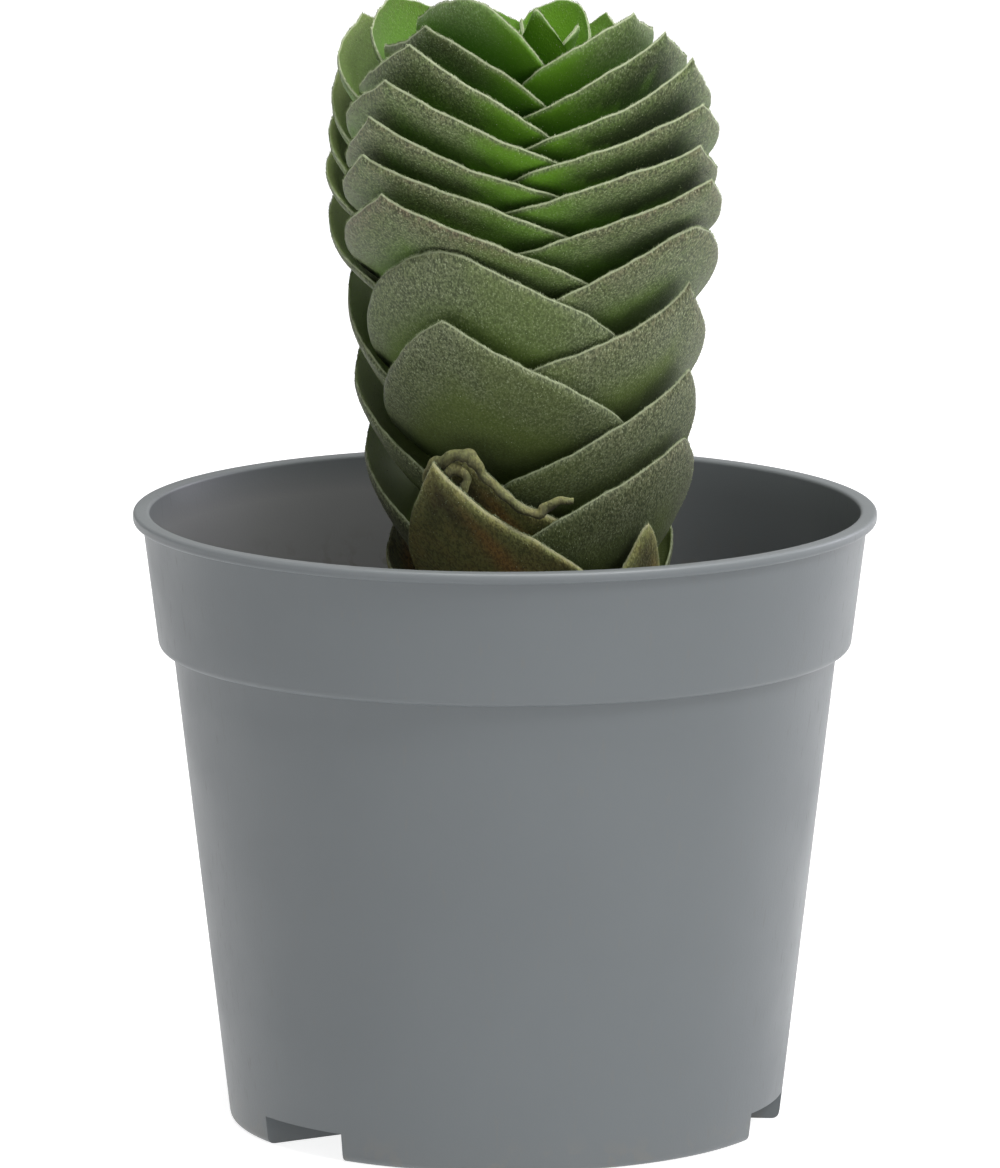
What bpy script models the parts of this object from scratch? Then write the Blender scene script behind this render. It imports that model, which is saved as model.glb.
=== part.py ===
"""Potted temple crassula: a column of stacked, clasping leaf pairs in a footed nursery pot.

Lengths are written in millimetres and turned into metres where meshes are made. The origin is on the
pot's axis at the ground, +Z is up, and the side drawn in full detail faces -Y.
"""

from dataclasses import dataclass, replace
from math import ceil, cos, pi, radians, sin

import bmesh
import bpy
import numpy as np

MM = 0.001

# Pot: a thin moulded shell with a collar and a lip, on three feet
POT_SIDES = 60
POT_HEIGHT = 99.7
RIM_RADIUS = 60.0
LIP_HEIGHT = 1.72
LIP_ROUND = 0.45
LIP_INNER_RADIUS = 57.36
COLLAR_TOP_RADIUS = 58.47
COLLAR_FOOT_RADIUS = 55.88
COLLAR_FOOT_HEIGHT = 77.6
COLLAR_ROUND = 1.1
BODY_TOP_RADIUS = 53.65
BODY_FOOT_RADIUS = 44.58
BODY_SLOPE = (BODY_TOP_RADIUS - BODY_FOOT_RADIUS) / COLLAR_FOOT_HEIGHT
WALL = 0.9
FLOOR_UNDERSIDE = 4.65
FLOOR_TOP = 5.75
FLOOR_ROUND = 1.3
FOOT_ROUND = 1.2
FOOT_INNER_RADIUS = 27.0
FOOT_SPAN = 97.0
FOOT_AZIMUTHS = (13.0, 133.0, 253.0)
CHANNEL_SPAN = 120.0 - FOOT_SPAN
CHANNEL_INNER_RADIUS = 12.0
CUT_MARGIN = 2.0
DRAIN_RADIUS = 3.0
DRAIN_SIDES = 14
DRAIN_DISTANCE = 33.0
BEVEL_SHARE = 0.3

# Soil: a low mound that fills the pot to just under its collar
SEAT_GAP = 0.35
SOIL_EDGE_HEIGHT = 76.2
SOIL_MOUND = 1.4
SOIL_LUMP = 0.5
SOIL_LUMP_WAVES = (3.0, 7.0, 11.0)
SOIL_LUMP_TURNS = (1.0, -2.0, 3.0)
SOIL_EVEN_RADIUS = 20.0
SOIL_RINGS = (41.0, 29.0, 17.0, 8.0)
HOLE_DEPTH = 24.0

# Stem: rows of (height, x of the axis), as it leans a little and bends toward the crown's centre
STEM_SIDES = 12
STEM_ROUTE = (
    (54.0, 5.2),
    (74.0, 4.6),
    (105.0, 3.6),
    (131.0, 2.8),
    (145.0, 3.0),
    (156.0, 3.8),
    (165.0, 5.8),
    (174.0, 8.4),
)
STEM_FOOT = SOIL_EDGE_HEIGHT - HOLE_DEPTH + SEAT_GAP
STEM_TOP = 172.9
STEM_FOOT_RADIUS = 4.0
STEM_TOP_RADIUS = 1.8
STEM_RING_STEP = 8.0
STEM_TIP_LENGTH = 1.5
STEM_TIP_SHARE = 0.5

# Leaves: the grid of a blade, and the measures that all leaves share
LEAF_ROWS = (0.0, 0.38, 0.68, 0.88, 1.0)
LEAF_COLUMNS = (-1.0, -0.91, -0.7, -0.45, -0.21, 0.0, 0.21, 0.45, 0.7, 0.91, 1.0)
CLASP_ANGLE = 86.0
CLASP_GAP = 0.4
SIDE_CURVE = 2.2
MARGIN_THICKNESS = 0.72
MIDDLE_EXTRA = 0.63
BASE_EXTRA = 0.93
THICK_PART = 0.45
FULL_REACH = 18.0
COLUMN_TILT = -0.04
LOBE_SQUARENESS = 5.0
DROOP_ANGLE = 60.0
DROOP_POWER = 1.5
MARGIN_WAVE = 0.3
WAVE_TURNS = 7.0
WAVE_OUTWARD = 0.4
WAVE_POWER = 3
WAVE_PHASE_STEP = 2.4
WAVE_BACK_PHASE = 1.3
ROLL_POWER = 10
LEAN_POWER = 3
PROBE = 0.004


@dataclass(frozen=True)
class Pair:
    """One pair of opposite leaves. Heights and reach are in millimetres, the turn in degrees."""

    base: float
    tip: float
    reach: float
    turn: float


# From the crown down. Turn is the front leaf's azimuth from -Y toward +X; its twin stands opposite.
PAIRS = (
    Pair(169.6, 178.6, 4.6, 72.0),
    Pair(168.5, 181.6, 7.6, -12.0),
    Pair(167.0, 180.6, 12.0, 62.0),
    Pair(165.0, 184.4, 18.6, -41.0),
    Pair(162.6, 181.7, 18.8, 51.0),
    Pair(160.1, 180.7, 26.0, -40.0),
    Pair(157.5, 179.2, 26.8, 51.5),
    Pair(154.8, 178.2, 32.0, -38.0),
    Pair(152.0, 175.7, 32.8, 52.0),
    Pair(149.2, 173.5, 35.4, -39.5),
    Pair(146.1, 170.4, 35.8, 51.0),
    Pair(143.1, 167.7, 36.6, -40.5),
    Pair(139.7, 164.5, 36.4, 50.5),
    Pair(136.5, 161.0, 37.4, -41.5),
    Pair(133.0, 158.0, 37.0, 51.0),
    Pair(129.1, 153.6, 36.8, -39.2),
    Pair(124.2, 149.4, 36.0, 55.5),
    Pair(117.6, 144.4, 31.6, -26.5),
    Pair(111.1, 138.8, 31.0, 59.4),
    Pair(104.8, 134.0, 31.0, -25.5),
    Pair(98.8, 125.6, 30.0, 62.0),
    Pair(93.3, 113.4, 27.3, -23.0),
    Pair(88.2, 114.2, 28.5, 62.6),
    Pair(84.0, 109.0, 27.3, -26.0),
    Pair(80.4, 99.6, 26.5, 45.0),
)

# How the form changes down the column: rows of (pair number, value), straight between them. The bow
# is how late a leaf turns up, the droop how far its side lobes sag in millimetres, the spread the half
# angle of its margin in degrees, and the taper how much shorter it reaches at the lobes. A skew makes
# the taper or the droop larger on the leaf's one side than on its other.
BOW = (
    (0, 2.0),
    (3, 2.5),
    (8, 3.1),
    (9, 2.7),
    (12, 2.15),
    (13, 1.9),
    (15, 1.6),
    (16, 1.9),
    (17, 3.8),
    (19, 3.4),
    (20, 3.3),
    (21, 5.0),
    (22, 4.0),
    (23, 5.0),
    (24, 4.6),
)
DROOP = ((0, 0.2), (5, 0.6), (12, 0.6), (14, 0.8), (15, 2.4), (16, 1.2), (19, 1.8), (20, 1.0), (24, 0.8))
SPREAD = ((0, 62.0), (3, 68.0), (5, 74.0), (16, 76.0), (19, 78.0), (24, 78.0))
TAPER = ((0, 0.27), (4, 0.27), (9, 0.28), (16, 0.31), (17, 0.21), (24, 0.19))


@dataclass(frozen=True)
class Leaf:
    """The measures of one leaf, in millimetres and degrees."""

    name: str
    base: float
    tip: float
    reach: float
    azimuth: float
    axis: float
    clasp: float
    bow: float
    droop: float
    spread: float
    taper: float
    point: float = 0.85
    wave: float = MARGIN_WAVE
    phase: float = 0.0
    taper_skew: float = 0.0
    droop_skew: float = 0.0
    lift: float = 0.0
    roll: float = 0.0
    withered: bool = False


# Leaves that differ from their pair's rule.
EXCEPTIONS = {
    "leaf_01_front": dict(spread=40.0, taper=0.2, point=1.4),
    "leaf_01_back": dict(spread=40.0, taper=0.2, point=1.4),
    "leaf_02_front": dict(spread=26.0, taper=0.2, point=1.6),
    "leaf_02_back": dict(azimuth=164.0, reach=9.0, spread=62.0, taper=0.2, point=1.5),
    "leaf_03_front": dict(taper=0.24, point=1.2, lift=-2.6),
    "leaf_03_back": dict(taper=0.24, point=1.5),
    "leaf_04_front": dict(
        azimuth=-38.0, reach=20.0, bow=2.0, spread=64.0, taper=0.3, taper_skew=1.6, point=1.95,
        droop=7.6, droop_skew=-0.2, lift=-0.4,
    ),
    "leaf_04_back": dict(reach=16.0, lift=-5.5),
    "leaf_05_front": dict(
        azimuth=50.5, reach=19.8, bow=3.0, taper=0.15, taper_skew=-0.4, point=0.8, droop=1.4,
        droop_skew=0.2, lift=1.0,
    ),
    "leaf_05_back": dict(azimuth=235.0, reach=17.0, taper=0.24, point=1.5, lift=-11.0),
    "leaf_06_front": dict(
        azimuth=-38.5, reach=27.8, bow=2.1, taper=0.34, taper_skew=0.7, point=0.9, droop=4.2,
        droop_skew=0.4, lift=-0.2,
    ),
    "leaf_06_back": dict(reach=24.0, lift=-3.0),
    "leaf_07_front": dict(
        reach=27.2, bow=3.1, taper=0.19, taper_skew=-0.7, point=0.7, droop=1.4, droop_skew=0.6,
        lift=1.2,
    ),
    "leaf_07_back": dict(azimuth=234.0, reach=27.6, spread=62.0, taper=0.22, point=1.5, lift=0.4),
    "leaf_08_front": dict(
        azimuth=-34.5, reach=33.4, bow=3.1, taper=0.37, taper_skew=0.4, point=0.95, droop=0.2,
        droop_skew=-0.8, lift=0.5,
    ),
    "leaf_08_back": dict(reach=29.5, lift=-3.4),
    "leaf_09_front": dict(
        azimuth=50.0, reach=34.2, taper=0.28, taper_skew=-0.2, point=0.75, droop=0.2, droop_skew=-0.3,
        lift=1.3,
    ),
    "leaf_09_back": dict(azimuth=234.0, taper=0.15, lift=0.6),
    "leaf_10_front": dict(
        azimuth=-36.5, reach=37.4, bow=2.4, taper=0.38, point=0.9, droop=1.2, droop_skew=0.2,
        lift=-0.7,
    ),
    "leaf_11_front": dict(
        azimuth=50.0, reach=37.0, bow=2.5, taper=0.4, taper_skew=0.2, point=1.0, droop=0.2,
        droop_skew=0.4, lift=-0.1,
    ),
    "leaf_12_front": dict(
        azimuth=-40.0, reach=38.0, bow=2.1, taper=0.4, taper_skew=-0.2, point=0.8, droop=0.4,
        droop_skew=-0.9, lift=-1.3,
    ),
    "leaf_13_front": dict(
        azimuth=47.0, reach=38.4, bow=2.1, taper=0.4, taper_skew=0.2, point=0.9, droop=0.2,
        droop_skew=0.4, lift=-0.5,
    ),
    "leaf_14_front": dict(
        azimuth=-42.5, reach=37.6, taper=0.39, taper_skew=-0.4, droop=2.0, droop_skew=0.5, lift=-0.6,
    ),
    "leaf_15_front": dict(
        azimuth=50.0, reach=39.0, bow=1.9, taper=0.4, taper_skew=0.2, droop=1.4, droop_skew=-0.9,
        lift=0.1,
    ),
    "leaf_16_front": dict(
        azimuth=-36.0, reach=38.4, bow=2.1, taper=0.36, taper_skew=-0.3, point=0.8, droop=3.2,
        droop_skew=0.3, lift=1.7,
    ),
    "leaf_17_front": dict(
        azimuth=51.0, reach=35.0, bow=2.6, taper=0.37, taper_skew=0.1, point=1.3, droop=5.6, lift=0.5,
    ),
    "leaf_18_front": dict(
        azimuth=-23.0, reach=33.2, bow=3.6, spread=75.0, taper=0.3, taper_skew=-0.4, point=1.45,
        droop=1.2, droop_skew=-0.2, lift=1.5,
    ),
    "leaf_18_back": dict(taper=0.2, point=1.42),
    "leaf_19_front": dict(
        azimuth=53.0, reach=32.6, bow=3.5, taper=0.24, taper_skew=0.3, point=0.75, droop=3.2,
        droop_skew=0.6, lift=2.6,
    ),
    "leaf_20_front": dict(
        azimuth=-24.5, reach=32.6, bow=2.6, spread=75.0, taper=0.33, taper_skew=-0.5, point=1.05,
        droop=2.8, droop_skew=0.6, lift=0.2,
    ),
    "leaf_21_front": dict(
        azimuth=59.0, reach=29.8, bow=3.4, taper=0.39, taper_skew=0.5, point=1.1, droop=5.6,
        droop_skew=0.9, lift=0.5,
    ),
    "leaf_22_front": dict(
        azimuth=-26.5, reach=24.6, bow=4.3, spread=41.0, taper=0.4, taper_skew=-0.9, point=1.5,
        droop=4.2, droop_skew=-0.4, lift=-1.9, wave=0.5, roll=0.4, withered=True,
    ),
    "leaf_22_back": dict(lift=3.0),
    "leaf_23_front": dict(
        azimuth=62.0, reach=27.6, bow=4.2, taper=0.22, taper_skew=0.4, point=1.2, droop=2.6,
        droop_skew=0.5,
    ),
    "leaf_24_front": dict(
        azimuth=-31.5, reach=30.0, bow=3.3, spread=53.0, taper=0.4, taper_skew=-0.6, point=1.0,
        droop=0.8, droop_skew=0.1, lift=2.5, wave=0.4, roll=0.4, withered=True,
    ),
    "leaf_25_front": dict(
        azimuth=47.0, reach=25.2, bow=6.3, spread=35.0, taper=0.4, taper_skew=-0.4, point=1.5,
        droop=0.2, droop_skew=0.3, lift=1.3, wave=0.4, withered=True,
    ),
    "leaf_25_back": dict(wave=0.4, withered=True),
}


def station(table, place):
    """Read a value at a place between the rows of a table of (place, value)."""
    places, values = zip(*table)
    return float(np.interp(place, places, values))


def stem_axis(height):
    """Give the x of the stem's axis at a height."""
    return station(STEM_ROUTE, height)


def stem_radius(height):
    """Give the stem's radius at a height."""
    share = (height - STEM_ROUTE[0][0]) / (STEM_TOP - STEM_ROUTE[0][0])
    return STEM_FOOT_RADIUS + (STEM_TOP_RADIUS - STEM_FOOT_RADIUS) * share


def leaves():
    """Work out every leaf's measures from the table of pairs."""
    found = []
    for number, pair in enumerate(PAIRS):
        for side, half_turn in (("front", 0.0), ("back", 180.0)):
            name = f"leaf_{number + 1:02d}_{side}"
            leaf = Leaf(
                name=name,
                base=pair.base,
                tip=pair.tip,
                reach=pair.reach,
                azimuth=pair.turn + half_turn,
                axis=stem_axis(pair.base),
                clasp=stem_radius(pair.base) + CLASP_GAP,
                bow=station(BOW, number),
                droop=station(DROOP, number),
                spread=station(SPREAD, number),
                taper=station(TAPER, number),
                phase=WAVE_PHASE_STEP * number + (WAVE_BACK_PHASE if half_turn else 0.0),
            )
            found.append(replace(leaf, **EXCEPTIONS.get(name, {})))
    return found


def rounded(along, across):
    """Draw in the outer corners of a leaf's square of places, so that its side lobes are round."""
    power = LOBE_SQUARENESS
    drawn_along = along * (1.0 - 0.5 * np.abs(across) ** power) ** (1.0 / power)
    drawn_across = across * (1.0 - 0.5 * along**power) ** (1.0 / power)
    return drawn_along, drawn_across


def leaf_middle(leaf, along, across):
    """Place points of a leaf's middle surface.

    Along runs from 0 at the stem to 1 at the margin, across from -1 to 1 between the side edges. The
    leaf is a piece of a deep bowl round the stem, so each pair nests in the next one down.
    """
    along, across = rounded(along, across)
    edge = np.abs(across)
    clasping = (CLASP_ANGLE - leaf.spread) * (1.0 - along**SIDE_CURVE)
    offset = (leaf.spread + clasping) * across
    taper = leaf.taper * (1.0 + leaf.taper_skew * across)
    margin = leaf.reach * (1.0 - taper * edge**leaf.point)
    distance = leaf.clasp + along * (margin - leaf.clasp)
    share = distance / leaf.reach
    ripple = leaf.wave * along**WAVE_POWER * np.sin(WAVE_TURNS * across + leaf.phase)
    distance = distance + WAVE_OUTWARD * ripple
    angle = np.radians(leaf.azimuth + offset)
    aside = distance * np.sin(angle)
    rise = (leaf.tip + leaf.lift - leaf.base) * share**leaf.bow
    droop = leaf.droop * (1.0 + leaf.droop_skew * across)
    sag = droop * np.minimum(np.abs(offset) / DROOP_ANGLE, 1.0) ** 2 * share**DROOP_POWER
    height = leaf.base + rise - sag + ripple + COLUMN_TILT * aside
    return np.stack((leaf.axis + aside, -distance * np.cos(angle), height), axis=-1)


def leaf_thickness(leaf, along):
    """Give a leaf's thickness from stem to margin; the small leaves of the crown are thinner."""
    full = min(1.0, leaf.reach / FULL_REACH)
    extra = np.interp(along, (0.0, THICK_PART, 1.0), (BASE_EXTRA, MIDDLE_EXTRA, 0.0))
    return MARGIN_THICKNESS + full * extra


def leaf_faces(leaf, along, across):
    """Place the points of a leaf's outer and inner faces, half a thickness to each side."""
    inward = leaf_middle(leaf, np.maximum(along - PROBE, 0.0), across)
    outward = leaf_middle(leaf, np.minimum(along + PROBE, 1.0), across)
    left = leaf_middle(leaf, along, np.maximum(across - PROBE, -1.0))
    right = leaf_middle(leaf, along, np.minimum(across + PROBE, 1.0))
    normal = np.cross(outward - inward, right - left)
    normal /= np.linalg.norm(normal, axis=-1, keepdims=True)
    normal *= np.where(normal[..., 2:] > 0.0, -1.0, 1.0)
    middle = leaf_middle(leaf, along, across)
    half = 0.5 * leaf_thickness(leaf, along)[..., None] * normal
    rolled_edge = leaf.roll * (along**ROLL_POWER)[..., None] * normal
    outer = middle + half + rolled_edge
    inner = middle - half
    for face in (outer, inner):
        lean = np.interp(face[..., 2], *zip(*STEM_ROUTE)) - leaf.axis
        face[..., 0] += lean * (1.0 - along) ** LEAN_POWER
    return outer, inner


def ring_of(data, sides, radius, height, axis=0.0, lump=0.0):
    """Add a level ring of points to a bmesh round an axis at x, with its height varied by the lump."""
    made = []
    for k in range(sides):
        a = 2.0 * pi * k / sides
        rough = sum(sin(n * a + turn * radius) for n, turn in zip(SOIL_LUMP_WAVES, SOIL_LUMP_TURNS))
        place = (axis + radius * cos(a), radius * sin(a), height + lump * rough)
        made.append(data.verts.new(tuple(value * MM for value in place)))
    return made


def bridge(data, low, high):
    """Join two rings of points with four-sided faces."""
    for k in range(len(low)):
        n = (k + 1) % len(low)
        data.faces.new((low[k], low[n], high[n], high[k]))


def new_object(name, mesh_data, material):
    """Make an object from a bmesh, closed and facing outward, and give it its material."""
    bmesh.ops.recalc_face_normals(mesh_data, faces=mesh_data.faces)
    mesh = bpy.data.meshes.new(name)
    mesh_data.to_mesh(mesh)
    mesh_data.free()
    mesh.materials.append(material)
    made = bpy.data.objects.new(name, mesh)
    bpy.context.scene.collection.objects.link(made)
    return made


def make_leaf(leaf, material):
    """Build one leaf as a closed blade: two faces on one grid, joined by a rim."""
    across, along = np.meshgrid(LEAF_COLUMNS, LEAF_ROWS)
    rows, columns = along.shape
    data = bmesh.new()
    faces = []
    for points in leaf_faces(leaf, along, across):
        faces.append([[data.verts.new(point * MM) for point in row] for row in points])
    for grid in faces:
        for i in range(rows - 1):
            for j in range(columns - 1):
                near, far = (j, j + 1) if j < columns // 2 else (j + 1, j)
                data.faces.new((grid[i][near], grid[i + 1][near], grid[i + 1][far]))
                data.faces.new((grid[i][near], grid[i + 1][far], grid[i][far]))
    walk = [(0, j) for j in range(columns - 1)]
    walk += [(i, columns - 1) for i in range(rows - 1)]
    walk += [(rows - 1, j) for j in range(columns - 1, 0, -1)]
    walk += [(i, 0) for i in range(rows - 1, 0, -1)]
    outer, inner = faces
    for (i, j), (k, m) in zip(walk, walk[1:] + walk[:1]):
        data.faces.new((outer[i][j], outer[k][m], inner[k][m]))
        data.faces.new((outer[i][j], inner[k][m], inner[i][j]))
    return new_object(leaf.name, data, material)


def inner_radius(height):
    """Give the radius of the pot's inner wall at a height below the collar."""
    return BODY_FOOT_RADIUS + BODY_SLOPE * height - WALL


def pot_outline():
    """List the pot's section, from its underside, up the outside, over the rim and down the inside."""
    lip_foot = POT_HEIGHT - LIP_HEIGHT
    collar_slope = (COLLAR_TOP_RADIUS - COLLAR_FOOT_RADIUS) / (lip_foot - COLLAR_FOOT_HEIGHT)
    return (
        (FOOT_INNER_RADIUS, FLOOR_UNDERSIDE),
        (FOOT_INNER_RADIUS, 0.0),
        (BODY_FOOT_RADIUS - FOOT_ROUND, 0.0),
        (BODY_FOOT_RADIUS - BEVEL_SHARE * FOOT_ROUND, BEVEL_SHARE * FOOT_ROUND),
        (BODY_FOOT_RADIUS + BODY_SLOPE * FOOT_ROUND, FOOT_ROUND),
        (BODY_TOP_RADIUS, COLLAR_FOOT_HEIGHT),
        (COLLAR_FOOT_RADIUS - COLLAR_ROUND, COLLAR_FOOT_HEIGHT),
        (COLLAR_FOOT_RADIUS - BEVEL_SHARE * COLLAR_ROUND, COLLAR_FOOT_HEIGHT + BEVEL_SHARE * COLLAR_ROUND),
        (COLLAR_FOOT_RADIUS + collar_slope * COLLAR_ROUND, COLLAR_FOOT_HEIGHT + COLLAR_ROUND),
        (COLLAR_TOP_RADIUS, lip_foot),
        (RIM_RADIUS - LIP_ROUND, lip_foot),
        (RIM_RADIUS, lip_foot + LIP_ROUND),
        (RIM_RADIUS, POT_HEIGHT - LIP_ROUND),
        (RIM_RADIUS - LIP_ROUND, POT_HEIGHT),
        (LIP_INNER_RADIUS + LIP_ROUND, POT_HEIGHT),
        (LIP_INNER_RADIUS, POT_HEIGHT - LIP_ROUND),
        (COLLAR_FOOT_RADIUS - WALL, COLLAR_FOOT_HEIGHT + WALL),
        (BODY_TOP_RADIUS - WALL, COLLAR_FOOT_HEIGHT),
        (inner_radius(FLOOR_TOP + FLOOR_ROUND), FLOOR_TOP + FLOOR_ROUND),
        (inner_radius(FLOOR_TOP) - FLOOR_ROUND, FLOOR_TOP),
    )


def make_cutter(name, corners, low, high):
    """Make a hidden upright prism that cuts the pot, from its plan corners and its two heights."""
    data = bmesh.new()
    foot = [data.verts.new((x * MM, y * MM, low * MM)) for x, y in corners]
    head = [data.verts.new((x * MM, y * MM, high * MM)) for x, y in corners]
    data.faces.new(foot)
    data.faces.new(head)
    bridge(data, foot, head)
    made = new_object(name, data, bpy.data.materials["pot_plastic"])
    made.hide_render = True
    made.display_type = "WIRE"
    return made


def plan_point(distance, azimuth):
    """Turn a distance and an azimuth from -Y toward +X into plan coordinates."""
    return distance * sin(radians(azimuth)), -distance * cos(radians(azimuth))


def cut(target, tool):
    """Subtract a cutter from the target with a Boolean modifier."""
    modifier = target.modifiers.new(tool.name, "BOOLEAN")
    modifier.operation = "DIFFERENCE"
    modifier.solver = "EXACT"
    modifier.object = tool


def make_shell(material):
    """Turn the pot's section about the Z axis and close it with its underside and its floor."""
    data = bmesh.new()
    rings = [ring_of(data, POT_SIDES, radius, height) for radius, height in pot_outline()]
    for low, high in zip(rings, rings[1:]):
        bridge(data, low, high)
    data.faces.new(rings[0])
    data.faces.new(rings[-1])
    return new_object("pot", data, material)


def make_pot(material):
    """Build the pot: the turned shell, cut by three channels that leave three feet, with drain holes."""
    pot = make_shell(material)
    drain_angles = [2.0 * pi * k / DRAIN_SIDES for k in range(DRAIN_SIDES)]
    for number, foot in enumerate(FOOT_AZIMUTHS):
        middle = foot + 0.5 * (FOOT_SPAN + CHANNEL_SPAN)
        first = middle - 0.5 * CHANNEL_SPAN
        last = middle + 0.5 * CHANNEL_SPAN
        corners = (
            plan_point(CHANNEL_INNER_RADIUS, first),
            plan_point(RIM_RADIUS, first),
            plan_point(RIM_RADIUS, last),
            plan_point(CHANNEL_INNER_RADIUS, last),
        )
        cut(pot, make_cutter(f"channel_{number}", corners, -CUT_MARGIN, FLOOR_UNDERSIDE))
        x, y = plan_point(DRAIN_DISTANCE, middle)
        ring = [(x + DRAIN_RADIUS * cos(a), y + DRAIN_RADIUS * sin(a)) for a in drain_angles]
        low, high = FLOOR_UNDERSIDE - CUT_MARGIN, FLOOR_TOP + CUT_MARGIN
        cut(pot, make_cutter(f"drain_{number}", ring, low, high))
    return pot


def make_soil(material):
    """Build the soil: it fills the pot to below the collar, with a plain hole for the stem."""
    edge_radius = inner_radius(SOIL_EDGE_HEIGHT) - SEAT_GAP
    hole_radius = STEM_FOOT_RADIUS + SEAT_GAP
    hole_foot = SOIL_EDGE_HEIGHT - HOLE_DEPTH
    hole_axis = stem_axis(SOIL_EDGE_HEIGHT)
    data = bmesh.new()
    rings = [
        ring_of(data, POT_SIDES, inner_radius(FLOOR_TOP) - FLOOR_ROUND - SEAT_GAP, FLOOR_TOP + SEAT_GAP),
        ring_of(data, POT_SIDES, inner_radius(FLOOR_TOP) - SEAT_GAP, FLOOR_TOP + FLOOR_ROUND + SEAT_GAP),
        ring_of(data, POT_SIDES, edge_radius, SOIL_EDGE_HEIGHT),
    ]
    for radius in SOIL_RINGS:
        inward = 1.0 - radius / edge_radius
        lump = SOIL_LUMP * min(1.0, radius / SOIL_EVEN_RADIUS)
        height = SOIL_EDGE_HEIGHT + SOIL_MOUND * inward
        rings.append(ring_of(data, POT_SIDES, radius, height, hole_axis * inward, lump))
    rings.append(ring_of(data, POT_SIDES, hole_radius, SOIL_EDGE_HEIGHT + SOIL_MOUND, hole_axis))
    rings.append(ring_of(data, POT_SIDES, hole_radius, hole_foot, stem_axis(hole_foot)))
    for low, high in zip(rings, rings[1:]):
        bridge(data, low, high)
    data.faces.new(rings[0])
    data.faces.new(rings[-1])
    return new_object("soil", data, material)


def make_stem(material):
    """Build the stem as a tapering tube along its route, ending in a blunt growing point."""
    shoulder = STEM_TOP - STEM_TIP_LENGTH
    heights = np.linspace(STEM_FOOT, shoulder, ceil((shoulder - STEM_FOOT) / STEM_RING_STEP))
    data = bmesh.new()
    rings = [ring_of(data, STEM_SIDES, stem_radius(height), height, stem_axis(height)) for height in heights]
    rings.append(ring_of(data, STEM_SIDES, STEM_TIP_SHARE * STEM_TOP_RADIUS, STEM_TOP, stem_axis(STEM_TOP)))
    for low, high in zip(rings, rings[1:]):
        bridge(data, low, high)
    data.faces.new(rings[0])
    data.faces.new(rings[-1])
    return new_object("stem", data, material)


def surface(name, colour, roughness):
    """Make a Principled BSDF material with a base colour and a roughness."""
    material = bpy.data.materials.new(name)
    material.use_nodes = True
    shader = material.node_tree.nodes["Principled BSDF"]
    shader.inputs["Base Color"].default_value = (*colour, 1.0)
    shader.inputs["Roughness"].default_value = roughness
    shader.inputs["Metallic"].default_value = 0.0
    return material


def main():
    """Clear the scene and build the plant in its pot."""
    for old in list(bpy.data.objects):
        bpy.data.objects.remove(old, do_unlink=True)
    pot_plastic = surface("pot_plastic", (0.19, 0.205, 0.225), 0.5)
    potting_soil = surface("potting_soil", (0.035, 0.024, 0.017), 0.95)
    stem_skin = surface("stem_skin", (0.16, 0.17, 0.07), 0.7)
    green_leaf = surface("green_leaf", (0.07, 0.14, 0.045), 0.6)
    old_leaf = surface("old_leaf", (0.13, 0.11, 0.045), 0.75)
    make_pot(pot_plastic)
    make_soil(potting_soil)
    make_stem(stem_skin)
    for leaf in leaves():
        make_leaf(leaf, old_leaf if leaf.withered else green_leaf)


if __name__ == "__main__":
    main()
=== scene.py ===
"""Looks of a potted temple crassula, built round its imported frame.

A column of stacked, clasping leaf pairs stands in a footed nursery pot. Lengths are written in
millimetres and turned into metres where meshes are made. The origin is on the pot's axis at the
ground, +Z is up, and the side shown in full detail faces -Y.
"""

import logging
from collections.abc import Callable, Iterable, Sequence
from dataclasses import dataclass, replace
from enum import Enum
from math import cos, hypot, pi, radians, sin
from typing import NamedTuple

import bpy
import numpy as np
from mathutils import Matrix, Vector
from mathutils.kdtree import KDTree


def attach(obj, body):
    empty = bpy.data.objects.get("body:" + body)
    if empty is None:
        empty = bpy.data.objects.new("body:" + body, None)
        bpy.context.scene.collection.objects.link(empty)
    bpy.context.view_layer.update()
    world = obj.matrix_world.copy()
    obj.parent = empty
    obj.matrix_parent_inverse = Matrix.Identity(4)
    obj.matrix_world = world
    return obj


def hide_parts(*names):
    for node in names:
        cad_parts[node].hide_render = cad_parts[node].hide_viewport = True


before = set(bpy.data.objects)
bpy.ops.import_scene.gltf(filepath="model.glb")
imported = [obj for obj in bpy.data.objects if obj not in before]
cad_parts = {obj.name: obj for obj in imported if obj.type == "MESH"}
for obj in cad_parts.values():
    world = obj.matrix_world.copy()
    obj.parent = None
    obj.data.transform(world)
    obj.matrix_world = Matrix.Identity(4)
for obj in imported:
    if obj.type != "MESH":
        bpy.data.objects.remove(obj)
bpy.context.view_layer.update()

LOG = logging.getLogger("crassula")
MM = 0.001
BODY = "root"

Array = np.ndarray
Material = bpy.types.Material
Mesh = bpy.types.Mesh
Node = bpy.types.Node
Outputs = bpy.types.NodeOutputs
Socket = bpy.types.NodeSocket
Thing = bpy.types.Object
Tree = bpy.types.NodeTree
Colour = tuple[float, float, float]
Span = tuple[float, float]
Table = tuple[tuple[float, ...], ...]
Value = float | int | Colour | Socket


def station(table: Table, place: float) -> float:
    """Read a value at a place between the rows of a table of (place, value)."""
    places, values = zip(*table)
    return float(np.interp(place, places, values))


def smooth(value: Array | float, low: float, high: float) -> Array:
    """Rise smoothly from 0 at low to 1 at high."""
    share = np.clip((value - low) / (high - low), 0.0, 1.0)
    return share * share * (3.0 - 2.0 * share)


def plan_point(distance: float, azimuth: float) -> tuple[float, float]:
    """Turn a distance and an azimuth from -Y toward +X into plan coordinates."""
    return distance * sin(radians(azimuth)), -distance * cos(radians(azimuth))


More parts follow.
